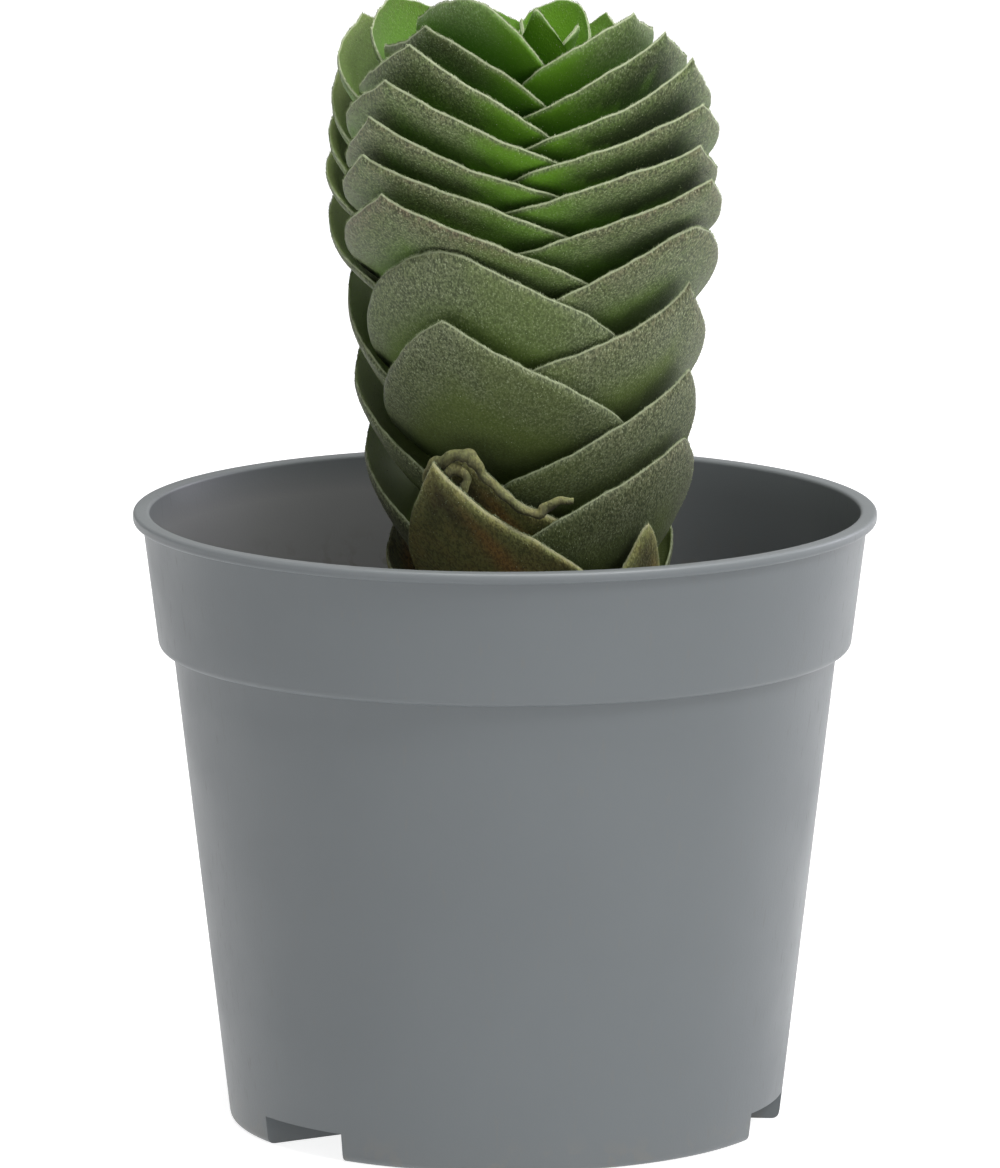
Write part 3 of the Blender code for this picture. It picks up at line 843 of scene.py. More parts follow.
def ring_of(turns: Array, radius: Array | float, height: Array | float, centre: float = 0.0) -> Array:
    """Place a ring of points at a height, round a centre that may be off the pot's axis."""
    across = centre + radius * np.cos(turns)
    return np.stack((across, radius * np.sin(turns), np.full_like(turns, 1.0) * height), axis=-1)


def tube_faces(rings: int, sides: int) -> list[tuple[int, ...]]:
    """List the faces of a capped tube whose rings follow one another."""
    faces: list[tuple[int, ...]] = []
    for i in range(rings - 1):
        for k in range(sides):
            n = (k + 1) % sides
            faces.append((i * sides + k, i * sides + n, (i + 1) * sides + n, (i + 1) * sides + k))
    faces.append(tuple(range(sides - 1, -1, -1)))
    faces.append(tuple((rings - 1) * sides + k for k in range(sides)))
    return faces


@dataclass(frozen=True)
class Blade:
    """One leaf: its measures in millimetres and degrees, and the surface that they give."""

    number: int
    side: Side
    base: float
    tip: float
    reach: float
    azimuth: float
    axis: float
    clasp: float
    bow: float
    droop: float
    spread: float
    taper: float
    flush: float
    point: float = 0.85
    wave: float = 0.3
    phase: float = 0.0
    taper_skew: float = 0.0
    droop_skew: float = 0.0
    lift: float = 0.0
    roll: float = 0.0
    withered: bool = False

    CLASP_ANGLE = 86.0
    SIDE_CURVE = 2.2
    MARGIN_THICKNESS = 0.72
    EXTRA_THICKNESS = ((0.0, 0.93), (0.45, 0.63), (1.0, 0.0))
    FULL_REACH = 18.0
    COLUMN_TILT = -0.04
    SQUARENESS = 5.0
    DROOP_ANGLE = 60.0
    DROOP_POWER = 1.5
    WAVE_TURNS = 7.0
    WAVE_OUTWARD = 0.4
    WAVE_POWER = 3
    ROLL_POWER = 10
    LEAN_POWER = 3
    PROBE = 0.004
    EDGE_ROUND = 1.5
    SHOULDER = 0.35
    SHOULDER_DEPTH = 2.6
    NICKS = ((13.0, 0.5, 1.7), (29.0, 0.3, 2.9), (53.0, 0.2, 0.7))
    NICK_OUT = 0.12
    NICK_UP = 0.3
    NICK_POWER = 8
    ROW_DEPTHS = (0.0, 0.03, 0.1, 0.22, 0.4, 0.7, 1.1, 1.7, 2.5, 3.5, 4.8, 6.4, 8.5, 11.0, 14.0, 18.0, 24.0)
    EDGE_DEPTHS = (0.0, 0.04, 0.12, 0.24, 0.45, 0.9)
    COLUMN_STEP = 1.2
    SHORTEST = 0.07
    INNER_GREEN = 0.85
    OLDEST = 24.0
    LOBE_EDGES = (0.05, 0.7)
    LOBE_AGES = (0.3, 0.62)
    LOBE_FADE = 0.8
    LOBE_DEPTHS = (0.0, 4.0)
    LOBE_SHARES = (0.85, 0.25)
    DEEP_DEPTHS = ((3.0, 5.0), (9.0, 9.0))
    DEEP_SHARE = 0.8
    CROSSING = (4.0, 13.0)
    CROSSING_DEPTHS = (0.1, 1.4)
    CROSSING_AGES = (0.38, 0.66)
    CROSSING_FADE = 0.55
    BLUSH_DEPTH = 3.0
    BLUSH_EDGES = (0.2, 0.8)
    BLUSH_FADE = 0.8
    FUZZ_START = (0.45, 0.75)
    FUZZ_SHARES = (0.25, 0.75)
    FUZZ_DEPTH = 6.0
    FUZZ_FADE = 0.8
    INNER_FUZZ = 0.5
    INNER_AGES = (0.25, 0.5)
    STAIN_SHARE = 0.75
    STAIN_DEPTH = 6.0
    STAIN_SPREAD = 4.0
    STAIN_CENTRE = 0.02
    STAIN_WIDTH = 0.16
    STREAK_CENTRE = 0.14
    STREAK_SLOPE = 0.02
    STREAK_WIDTH = 0.13
    STREAK_DEPTHS = (2.0, 7.0)
    MARGIN_POINTS = 160
    HAIR_ROOT = 0.985

    @property
    def node(self) -> str:
        """Give the name of the node that this leaf stands for."""
        return f"leaf_{self.number + 1:02d}_{self.side.value}"

    def middle(self, along: Array, across: Array) -> Array:
        """Place points of the middle surface.

        Args:
            along: 0 at the stem to 1 at the margin.
            across: -1 to 1 between the side edges.

        Returns:
            Places in millimetres. The leaf is a piece of a deep bowl round the stem, so each pair
            nests in the next one down, and the outer corners are drawn in to round side lobes.
        """
        power = self.SQUARENESS
        drawn = along * (1.0 - 0.5 * np.abs(across) ** power) ** (1.0 / power)
        across = across * (1.0 - 0.5 * along**power) ** (1.0 / power)
        along = drawn
        clasping = (self.CLASP_ANGLE - self.spread) * (1.0 - along**self.SIDE_CURVE)
        offset = (self.spread + clasping) * across
        taper = self.taper * (1.0 + self.taper_skew * across)
        margin = self.reach * (1.0 - taper * np.abs(across) ** self.point)
        distance = self.clasp + along * (margin - self.clasp)
        share = distance / self.reach
        ripple = self.wave * along**self.WAVE_POWER * np.sin(self.WAVE_TURNS * across + self.phase)
        small = min(1.0, self.reach / self.FULL_REACH) * along**self.NICK_POWER
        nick = small * sum(size * np.sin(turns * across + k * self.phase) for turns, size, k in self.NICKS)
        distance = distance + self.WAVE_OUTWARD * ripple + self.NICK_OUT * nick
        angle = np.radians(self.azimuth + offset)
        aside = distance * np.sin(angle)
        rise = (self.tip + self.lift - self.base) * share**self.bow
        droop = self.droop * (1.0 + self.droop_skew * across)
        sag = droop * np.minimum(np.abs(offset) / self.DROOP_ANGLE, 1.0) ** 2 * share**self.DROOP_POWER
        height = self.base + rise - sag + ripple + self.NICK_UP * nick + self.COLUMN_TILT * aside
        return np.stack((self.axis + aside, -distance * np.cos(angle), height), axis=-1)

    def normal(self, along: Array, across: Array) -> Array:
        """Give the direction from the middle surface toward the outer face."""
        step = self.PROBE
        inward = self.middle(np.maximum(along - step, 0.0), across)
        outward = self.middle(np.minimum(along + step, 1.0), across)
        left = self.middle(along, np.maximum(across - step, -1.0))
        right = self.middle(along, np.minimum(across + step, 1.0))
        found = np.cross(outward - inward, right - left)
        found /= np.linalg.norm(found, axis=-1, keepdims=True)
        return found * np.where(found[..., 2:] > 0.0, -1.0, 1.0)

    def grid(self) -> tuple[Array, Array]:
        """Lay out the places of the blade's points, closer together at the margin and side edges."""
        length = self.reach - self.clasp
        rows = [1.0 - depth / length for depth in self.ROW_DEPTHS if depth < (1.0 - self.SHORTEST) * length]
        along = np.array([0.0, *reversed(rows)])
        arc = self.reach * radians(self.spread)
        shares = [1.0 - depth / arc for depth in self.EDGE_DEPTHS]
        count = max(6, round(arc / self.COLUMN_STEP))
        half = [*shares, *np.linspace(shares[-1], 0.0, count + 1)[1:-1]]
        across = np.array([-share for share in half] + [0.0] + half[::-1])
        return np.meshgrid(along, across, indexing="ij")

    @staticmethod
    def edge_distance(middle: Array) -> tuple[Array, Array]:
        """Measure how far each point lies from the margin and from the nearer side edge."""
        steps = np.linalg.norm(np.diff(middle, axis=0), axis=-1)
        margin = np.zeros(middle.shape[:2])
        margin[:-1] = np.cumsum(steps[::-1], axis=0)[::-1]
        steps = np.linalg.norm(np.diff(middle, axis=1), axis=-1)
        left = np.zeros(middle.shape[:2])
        left[:, 1:] = np.cumsum(steps, axis=1)
        return margin, np.minimum(left, left[:, -1:] - left)

    def shape(self, along: Array, across: Array) -> tuple[Array, Array, Array, Array]:
        """Place the outer and inner faces, which meet in a round rim.

        Returns:
            The outer and the inner places, and the distances to the margin and to the side edge.
        """
        middle = self.middle(along, across)
        normal = self.normal(along, across)
        margin, side = self.edge_distance(middle)
        full = min(1.0, self.reach / self.FULL_REACH)
        places, extra = zip(*self.EXTRA_THICKNESS)
        half = 0.5 * (self.MARGIN_THICKNESS + full * np.interp(along, places, extra))
        rolled = 0.5 * self.roll * along**self.ROLL_POWER
        half = half + rolled
        rim = np.minimum(np.where(along > 0.0, margin, side), side) / (self.EDGE_ROUND * full)
        near = np.clip(rim, 0.0, 1.0)
        depth = np.minimum(margin, side) / (self.SHOULDER_DEPTH * full)
        shoulder = self.SHOULDER * full * depth * np.exp(1.0 - depth)
        shown = (half * np.sqrt(near * (2.0 - near)))[..., None] * normal
        centre = middle + (rolled + shoulder)[..., None] * normal
        faces = []
        for face in (centre + shown, centre - shown):
            lean = np.interp(face[..., 2], *zip(*Stem().route)) - self.axis
            face[..., 0] += lean * (1.0 - along) ** self.LEAN_POWER
            faces.append(face)
        return faces[0], faces[1], margin, side

    def marks(
        self, along: Array, across: Array, margin: Array, side: Array, sideways: Array
    ) -> dict[str, Array]:
        """Work out the measures that the skin reads.

        Args:
            along: 0 at the stem to 1 at the margin.
            across: -1 to 1 between the side edges.
            margin: The distance to the margin.
            side: The distance to the nearer side edge.
            sideways: The distance to the column's middle plane, where the ranks cross in front.
        """
        age = self.number / self.OLDEST
        edge = np.abs(across)
        lobe = smooth(edge, *self.LOBE_EDGES) * (1.0 - self.LOBE_FADE * smooth(age, *self.LOBE_AGES))
        deep = smooth(margin, *(young + older * age for young, older in self.DEEP_DEPTHS))
        within, all_over = self.LOBE_SHARES
        shelter = within * lobe * smooth(margin, *self.LOBE_DEPTHS) + all_over * lobe + self.DEEP_SHARE * deep
        crossing = (1.0 - smooth(sideways, *self.CROSSING)) * smooth(margin, *self.CROSSING_DEPTHS)
        crossing = crossing * (1.0 - self.CROSSING_FADE * smooth(age, *self.CROSSING_AGES))
        shelter = np.maximum(np.clip(shelter, 0.0, 1.0), crossing)
        blush = self.flush * np.exp(-margin / self.BLUSH_DEPTH)
        blush = blush * (1.0 - self.BLUSH_FADE * smooth(edge, *self.BLUSH_EDGES))
        least, more = self.FUZZ_SHARES
        fuzz = smooth(along, *self.FUZZ_START) * (least + more * np.exp(-margin / self.FUZZ_DEPTH))
        fuzz = fuzz * (1.0 - self.FUZZ_FADE * shelter)
        rim = np.minimum(margin, side)
        found = {"rim": rim, "age": np.full_like(rim, age), "shelter": shelter, "blush": blush, "fuzz": fuzz}
        if self.withered:
            depth = (margin - self.STAIN_DEPTH) / self.STAIN_SPREAD
            aside = (across - self.STAIN_CENTRE) / self.STAIN_WIDTH
            found["stain"] = self.STAIN_SHARE * np.exp(-(depth**2) - aside**2)
            aside = (across - self.STREAK_CENTRE - self.STREAK_SLOPE * margin) / self.STREAK_WIDTH
            found["streak"] = np.exp(-(aside**2)) * smooth(margin, *self.STREAK_DEPTHS)
        return found

    def mesh(self, name: str) -> Mesh:
        """Build the closed blade: two faces on one grid that share the points of its rim."""
        along, across = self.grid()
        outer, inner, margin, side = self.shape(along, across)
        marks = self.marks(along, across, margin, side, np.abs(outer[..., 0] - self.axis))
        rows, columns = along.shape
        rim = np.zeros((rows, columns), bool)
        rim[-1, :] = rim[:, 0] = rim[:, -1] = True
        front = np.arange(rows * columns).reshape(rows, columns)
        back = np.where(rim, front, rows * columns + np.cumsum(~rim).reshape(rows, columns) - 1)
        points = np.concatenate((outer.reshape(-1, 3), inner[~rim]))
        faces = []
        for grid, turned in ((front, False), (back, True)):
            corners = (grid[:-1, :-1], grid[1:, :-1], grid[1:, 1:], grid[:-1, 1:])
            quads = np.stack(corners, axis=-1).reshape(-1, 4)
            faces += [tuple(q[::-1] if turned else q) for q in quads]
        for j in range(columns - 1):
            foot = (front[0, j], front[0, j + 1], back[0, j + 1], back[0, j])
            faces.append(tuple(dict.fromkeys(int(k) for k in foot)))
        mesh = solid_mesh(name, points, faces)
        kept = {key: np.concatenate((value.ravel(), value[~rim])) for key, value in marks.items()}
        within = slice(rows * columns, None)
        kept["fuzz"][within] *= self.INNER_FUZZ
        green = self.INNER_GREEN * (1.0 - smooth(kept["age"][within], *self.INNER_AGES))
        kept["shelter"][within] = np.maximum(kept["shelter"][within], green)
        # The inner mark is painted light: older leaves' inner faces get a lighter green in place of light
        # passing through the leaf.
        kept["inner"] = np.zeros_like(kept["age"])
        kept["inner"][within] = self.INNER_GREEN - green
        keep_marks(mesh, kept)
        return mesh

    def margin_path(self) -> tuple[Array, Array]:
        """Give the margin's points and the way that its hairs point."""
        across = np.linspace(-1.0, 1.0, self.MARGIN_POINTS)
        edge = self.middle(np.ones_like(across), across)
        within = self.middle(np.full_like(across, self.HAIR_ROOT), across)
        way = edge - within
        way /= np.linalg.norm(way, axis=-1, keepdims=True)
        return edge, way


@dataclass(frozen=True)
class Foliage:
    """The whole column of leaves: the table of pairs, how the form changes down it, and its hairs."""

    stem: Stem = Stem()
    pairs: tuple[Pair, ...] = (
        Pair(169.6, 178.6, 4.6, 72.0),
        Pair(168.5, 181.6, 7.6, -12.0),
        Pair(167.0, 180.6, 12.0, 62.0),
        Pair(165.0, 184.4, 18.6, -41.0),
        Pair(162.6, 181.7, 18.8, 51.0),
        Pair(160.1, 180.7, 26.0, -40.0),
        Pair(157.5, 179.2, 26.8, 51.5),
        Pair(154.8, 178.2, 32.0, -38.0),
        Pair(152.0, 175.7, 32.8, 52.0),
        Pair(149.2, 173.5, 35.4, -39.5),
        Pair(146.1, 170.4, 35.8, 51.0),
        Pair(143.1, 167.7, 36.6, -40.5),
        Pair(139.7, 164.5, 36.4, 50.5),
        Pair(136.5, 161.0, 37.4, -41.5),
        Pair(133.0, 158.0, 37.0, 51.0),
        Pair(129.1, 153.6, 36.8, -39.2),
        Pair(124.2, 149.4, 36.0, 55.5),
        Pair(117.6, 144.4, 31.6, -26.5),
        Pair(111.1, 138.8, 31.0, 59.4),
        Pair(104.8, 134.0, 31.0, -25.5),
        Pair(98.8, 125.6, 30.0, 62.0),
        Pair(93.3, 113.4, 27.3, -23.0),
        Pair(88.2, 114.2, 28.5, 62.6),
        Pair(84.0, 109.0, 27.3, -26.0),
        Pair(80.4, 99.6, 26.5, 45.0),
    )
    bow: Table = (
        (0, 2.0), (3, 2.5), (8, 3.1), (9, 2.7), (12, 2.15), (13, 1.9), (15, 1.6), (16, 1.9), (17, 3.8),
        (19, 3.4), (20, 3.3), (21, 5.0), (22, 4.0), (23, 5.0), (24, 4.6),
    )
    droop: Table = (
        (0, 0.2), (5, 0.6), (12, 0.6), (14, 0.8), (15, 2.4), (16, 1.2), (19, 1.8), (20, 1.0), (24, 0.8),
    )
    spread: Table = ((0, 62.0), (3, 68.0), (5, 74.0), (16, 76.0), (19, 78.0), (24, 78.0))
    taper: Table = ((0, 0.27), (4, 0.27), (9, 0.28), (16, 0.31), (17, 0.21), (24, 0.19))
    flush: Table = (
        (0, 0.1), (3, 0.25), (8, 0.4), (11, 0.6), (13, 0.65), (15, 0.95), (16, 0.7), (17, 0.2),
        (18, 0.6), (19, 0.15), (20, 0.4), (24, 0.6),
    )
    clasp_gap: float = 0.4
    # The crevice measures set the painted shade laid in the gaps above lower leaves' margins.
    crevice_depths: Span = (0.3, 2.2)
    crevice_height: float = 2.3
    crevice_strength: Span = (0.6, 0.35)
    crevice_fade: float = 0.6
    crevice_fade_pairs: Span = (10.0, 16.0)
    crevice_crown: float = 0.35
    crevice_crown_pairs: Span = (3.0, 9.0)
    crevice_facing: float = -0.2
    crevice_within: float = 0.3
    near_margin_points: int = 40
    phase_step: float = 2.4
    back_phase: float = 1.3
    fuzz_groups: int = 3
    fuzz_seed: int = 11
    fringe_seed: int = 5

    COLUMNS = ("bow", "droop", "spread", "taper", "flush")
    FUZZ_SIZES = {"density": 1.6e6, "height": 0.13 * MM, "foot": 0.07 * MM}
    FRINGE_SIZES = {"spacing": 0.16 * MM, "height": 0.42 * MM, "foot": 0.06 * MM}
    FORM = (
        "azimuth", "reach", "bow", "spread", "taper", "taper_skew", "point", "droop", "droop_skew", "lift",
    )
    # A row's columns are those of FORM; None leaves the measure as the tables above give it.
    FRONTS = {
        4: (-38.0, 20.0, 2.0, 64.0, 0.3, 1.6, 1.95, 7.6, -0.2, -0.4),
        5: (50.5, 19.8, 3.0, None, 0.15, -0.4, 0.8, 1.4, 0.2, 1.0),
        6: (-38.5, 27.8, 2.1, None, 0.34, 0.7, 0.9, 4.2, 0.4, -0.2),
        7: (None, 27.2, 3.1, None, 0.19, -0.7, 0.7, 1.4, 0.6, 1.2),
        8: (-34.5, 33.4, 3.1, None, 0.37, 0.4, 0.95, 0.2, -0.8, 0.5),
        9: (50.0, 34.2, None, None, 0.28, -0.2, 0.75, 0.2, -0.3, 1.3),
        10: (-36.5, 37.4, 2.4, None, 0.38, None, 0.9, 1.2, 0.2, -0.7),
        11: (50.0, 37.0, 2.5, None, 0.4, 0.2, 1.0, 0.2, 0.4, -0.1),
        12: (-40.0, 38.0, 2.1, None, 0.4, -0.2, 0.8, 0.4, -0.9, -1.3),
        13: (47.0, 38.4, 2.1, None, 0.4, 0.2, 0.9, 0.2, 0.4, -0.5),
        14: (-42.5, 37.6, None, None, 0.39, -0.4, None, 2.0, 0.5, -0.6),
        15: (50.0, 39.0, 1.9, None, 0.4, 0.2, None, 1.4, -0.9, 0.1),
        16: (-36.0, 38.4, 2.1, None, 0.36, -0.3, 0.8, 3.2, 0.3, 1.7),
        17: (51.0, 35.0, 2.6, None, 0.37, 0.1, 1.3, 5.6, None, 0.5),
        18: (-23.0, 33.2, 3.6, 75.0, 0.3, -0.4, 1.45, 1.2, -0.2, 1.5),
        19: (53.0, 32.6, 3.5, None, 0.24, 0.3, 0.75, 3.2, 0.6, 2.6),
        20: (-24.5, 32.6, 2.6, 75.0, 0.33, -0.5, 1.05, 2.8, 0.6, 0.2),
        21: (59.0, 29.8, 3.4, None, 0.39, 0.5, 1.1, 5.6, 0.9, 0.5),
        22: (-26.5, 24.6, 4.3, 41.0, 0.4, -0.9, 1.5, 4.2, -0.4, -1.9),
        23: (62.0, 27.6, 4.2, None, 0.22, 0.4, 1.2, 2.6, 0.5, None),
        24: (-31.5, 30.0, 3.3, 53.0, 0.4, -0.6, 1.0, 0.8, 0.1, 2.5),
        25: (47.0, 25.2, 6.3, 35.0, 0.4, -0.4, 1.5, 0.2, 0.3, 1.3),
    }
    EXCEPTIONS = {
        "leaf_01_front": dict(spread=40.0, taper=0.2, point=1.4),
        "leaf_01_back": dict(spread=40.0, taper=0.2, point=1.4),
        "leaf_02_front": dict(spread=26.0, taper=0.2, point=1.6),
        "leaf_02_back": dict(azimuth=164.0, reach=9.0, spread=62.0, taper=0.2, point=1.5),
        "leaf_03_front": dict(taper=0.24, point=1.2, lift=-2.6),
        "leaf_03_back": dict(taper=0.24, point=1.5),
        "leaf_04_back": dict(reach=16.0, lift=-5.5),
        "leaf_05_back": dict(azimuth=235.0, reach=17.0, taper=0.24, point=1.5, lift=-11.0),
        "leaf_06_back": dict(reach=24.0, lift=-3.0),
        "leaf_07_back": dict(azimuth=234.0, reach=27.6, spread=62.0, taper=0.22, point=1.5, lift=0.4),
        "leaf_08_back": dict(reach=29.5, lift=-3.4),
        "leaf_09_back": dict(azimuth=234.0, taper=0.15, lift=0.6),
        "leaf_18_back": dict(taper=0.2, point=1.42),
        "leaf_22_front": dict(wave=0.5, roll=0.4, withered=True),
        "leaf_22_back": dict(lift=3.0),
        "leaf_24_front": dict(wave=0.4, roll=0.4, withered=True),
        "leaf_25_front": dict(wave=0.4, withered=True),
        "leaf_25_back": dict(wave=0.4, withered=True),
    }

    def blades(self) -> list[Blade]:
        """Work out every leaf's measures from the table of pairs."""
        found = []
        for number, pair in enumerate(self.pairs):
            measures = {name: station(getattr(self, name), number) for name in self.COLUMNS}
            for side, half_turn in ((Side.FRONT, 0.0), (Side.BACK, 180.0)):
                blade = Blade(
                    number=number,
                    side=side,
                    base=pair.base,
                    tip=pair.tip,
                    reach=pair.reach,
                    azimuth=pair.turn + half_turn,
                    axis=self.stem.axis(pair.base),
                    clasp=self.stem.radius(pair.base) + self.clasp_gap,
                    phase=self.phase_step * number + (self.back_phase if half_turn else 0.0),
                    **measures,
                )
                row = self.FRONTS.get(number + 1, ()) if side is Side.FRONT else ()
                form = {name: value for name, value in zip(self.FORM, row) if value is not None}
                found.append(replace(blade, **form, **self.EXCEPTIONS.get(blade.node, {})))
        return found

    def margins(self, blades: Sequence[Blade]) -> tuple[KDTree, list[int]]:
        """Gather points along every leaf's margin, for nearness to be measured.

        Returns:
            The points' tree, and the place in the list of leaves of each point's leaf.
        """
        paths = [(k, point) for k, blade in enumerate(blades) for point in blade.margin_path()[0]]
        tree = KDTree(len(paths))
        for number, (_, point) in enumerate(paths):
            tree.insert(point, number)
        tree.balance()
        return tree, [k for k, _ in paths]

    def crevices(self, mesh: Mesh, number: int, tree: KDTree, owners: Sequence[int]) -> Array:
        """Mark how deep each point of a leaf lies in the gap above a lower leaf's margin, as painted shade
        for the skin.

        Args:
            mesh: The leaf's mesh.
            number: The leaf's place in the list of leaves.
            tree: The points of every margin.
            owners: The leaf of each of those points.

        Returns:
            0 in the open to 1 well behind another leaf's margin, for each point: how much painted shade it
            gets.
        """
        pair = number // 2
        least, leaning = self.crevice_strength
        outward = np.zeros(len(mesh.vertices))
        above = np.zeros(len(mesh.vertices))
        facing = np.ones(len(mesh.vertices))
        for k, vertex in enumerate(mesh.vertices):
            place = vertex.co / MM
            away = Vector((place.x - self.stem.axis(place.z), place.y, 0.0)).normalized()
            for margin, other, _ in tree.find_n(place, self.near_margin_points):
                if owners[other] // 2 > pair:
                    outward[k] = (margin - place).dot(away)
                    above[k] = max(0.0, place.z - margin.z)
                    facing[k] = least + leaning * away.x
                    facing[k] *= 1.0 if vertex.normal.dot(away) > self.crevice_facing else self.crevice_within
                    break
        facing *= 1.0 - self.crevice_fade * smooth(pair, *self.crevice_fade_pairs)
        facing *= self.crevice_crown + (1.0 - self.crevice_crown) * smooth(pair, *self.crevice_crown_pairs)
        return facing * smooth(outward, *self.crevice_depths) * np.exp(-((above / self.crevice_height) ** 2))

    def build(self, skin: Material, dry: Material, hair: Material) -> None:
        """Build every blade, then the fuzz on the blades and the fringe along their margins."""
        blades = self.blades()
        tree, owners = self.margins(blades)
        meshes = []
        for number, blade in enumerate(blades):
            name = blade.node.replace("leaf", "blade")
            mesh = blade.mesh(name)
            # painted shade in the gaps above lower leaves' margins
            keep_marks(mesh, {"crevice": self.crevices(mesh, number, tree, owners)})
            meshes.append(mesh.copy())
            piece = new_object(name, mesh, dry if blade.withered else skin)
            finish_piece(piece, "old_leaf" if blade.withered else "green_leaf", blade.node)
        for number, chosen in enumerate(np.array_split(np.arange(len(blades)), self.fuzz_groups)):
            carrier = joined([meshes[k] for k in chosen], f"fuzz_carrier_{number}")
            name = f"leaf_fuzz_{number + 1}"
            fuzz = Grower.grow(Growth.FUZZ, name, carrier, hair, self.fuzz_seed + number, **self.FUZZ_SIZES)
            finish_piece(fuzz, "green_leaf")
        paths = path_mesh([blade.margin_path() for blade in blades], "fringe_paths")
        name = "margin_hairs"
        fringe = Grower.grow(Growth.FRINGE, name, paths, hair, self.fringe_seed, **self.FRINGE_SIZES)
        finish_piece(fringe, "green_leaf")


def joined(meshes: Iterable[Mesh], name: str) -> Mesh:
    """Join copies of meshes into one carrier that keeps the fuzz measure."""
    points, faces, fuzz, start = [], [], [], 0
    for mesh in meshes:
        share = np.empty(len(mesh.vertices), np.float32)
        mesh.attributes["fuzz"].data.foreach_get("value", share)
        points.append(places_of(mesh))
        fuzz.append(share)
        faces += [tuple(start + k for k in face.vertices) for face in mesh.polygons]
        start += len(mesh.vertices)
        bpy.data.meshes.remove(mesh)
    made = bpy.data.meshes.new(name)
    made.from_pydata(np.concatenate(points).tolist(), [], faces)
    keep_marks(made, {"fuzz": np.concatenate(fuzz)})
    return made


def path_mesh(paths: Sequence[tuple[Array, Array]], name: str) -> Mesh:
    """Make a mesh of open paths, each point with the way that its hairs point."""
    points, edges, ways, start = [], [], [], 0
    for places, way in paths:
        points.append(places * MM)
        ways.append(way)
        edges += [(start + k, start + k + 1) for k in range(len(places) - 1)]
        start += len(places)
    made = bpy.data.meshes.new(name)
    made.from_pydata(np.concatenate(points).tolist(), edges, [])
    keep_marks(made, {"way": np.concatenate(ways)})
    return made


@dataclass(frozen=True)
class CurledMargin:
    """The shrivelled edge of one dry leaf: knobbly rolls, placed by azimuth, height and radius, with painted
    light on top and painted shade underneath.
    """

    axis: float = 4.8
    distance: float = 27.6
    sides: int = 14
    steps: int = 9
    flatness: float = 0.75
    knob: float = 0.16
    knob_waves: Table = ((1.9, 2.0), (4.3, -1.0))
    overhang: float = 0.4
    # Pale frost edge, strongest on each roll's top as painted light; painted shade darkest underneath.
    pale_edge: Span = (0.65, 0.25)
    dark_foot: Span = (0.55, 0.3)
    rolls: tuple[Table, ...] = (
        (
            (-39.0, 107.1, 0.4), (-38.5, 109.3, 0.7), (-35.8, 110.8, 0.9), (-31.0, 111.5, 1.0),
            (-26.4, 112.8, 1.1), (-22.6, 112.8, 1.1), (-19.6, 111.7, 1.0), (-17.8, 109.8, 0.8),
            (-14.0, 108.3, 0.7), (-9.8, 106.4, 0.6), (-5.6, 104.5, 0.6), (-1.4, 103.7, 0.7),
            (1.8, 103.8, 0.8), (4.4, 105.1, 0.8), (8.4, 105.8, 0.8), (13.0, 105.7, 0.4),
        ),
        (
            (-31.5, 107.5, 0.4), (-31.8, 109.1, 0.8), (-28.6, 110.3, 0.9), (-24.8, 110.3, 0.9),
            (-22.6, 108.8, 0.8), (-24.0, 107.2, 0.7), (-26.4, 106.5, 0.4),
        ),
    )

    def roll(self, name: str, knots: Table) -> Mesh:
        """Sweep one closed roll through its knots, round the column."""
        knots_at = np.arange(len(knots), dtype=float)
        places = np.linspace(0.0, len(knots) - 1.0, self.steps * (len(knots) - 1) + 1)
        weights = np.hanning(self.steps + 2)[1:-1]
        weights /= weights.sum()
        reach = len(weights) // 2
        columns = [np.pad(np.interp(places, knots_at, column), reach, "edge") for column in zip(*knots)]
        turn, height, radius = (np.convolve(column, weights, "valid") for column in columns)
        angle = np.radians(turn)
        outward = np.stack((np.sin(angle), -np.cos(angle), np.zeros_like(angle)), axis=-1)
        centre = outward * (self.distance + self.overhang * radius)[:, None]
        centre += np.stack((np.full_like(angle, self.axis), np.zeros_like(angle), height), axis=-1)
        forward = np.gradient(centre, axis=0)
        upward = np.cross(outward, forward)
        upward /= np.linalg.norm(upward, axis=-1, keepdims=True)
        rings = []
        for k in range(self.sides):
            a = 2.0 * pi * k / self.sides
            waves = (np.sin(count * places + turns * a) for count, turns in self.knob_waves)
            wobble = 1.0 + self.knob * sum(waves)
            size = (radius * wobble)[:, None]
            rings.append(centre + size * (cos(a) * self.flatness * outward + sin(a) * upward))
        points = np.stack(rings, axis=1).reshape(-1, 3)
        mesh = solid_mesh(name, points, tube_faces(len(places), self.sides))
        # lift: +1 on each ring's top and -1 underneath, for painted light above and painted shade below
        lift = np.tile(np.sin(2.0 * pi * np.arange(self.sides) / self.sides), len(places))
        marks = {"rim": self.pale_edge, "crevice": self.dark_foot}
        keep_marks(mesh, {name: middle - change * lift for name, (middle, change) in marks.items()})
        return mesh

    def build(self, dry: Material) -> None:
        """Build the rolls."""
        for number, knots in enumerate(self.rolls):
            name = f"curled_margin_{number + 1}"
            finish_piece(new_object(name, self.roll(name, knots), dry), "old_leaf")


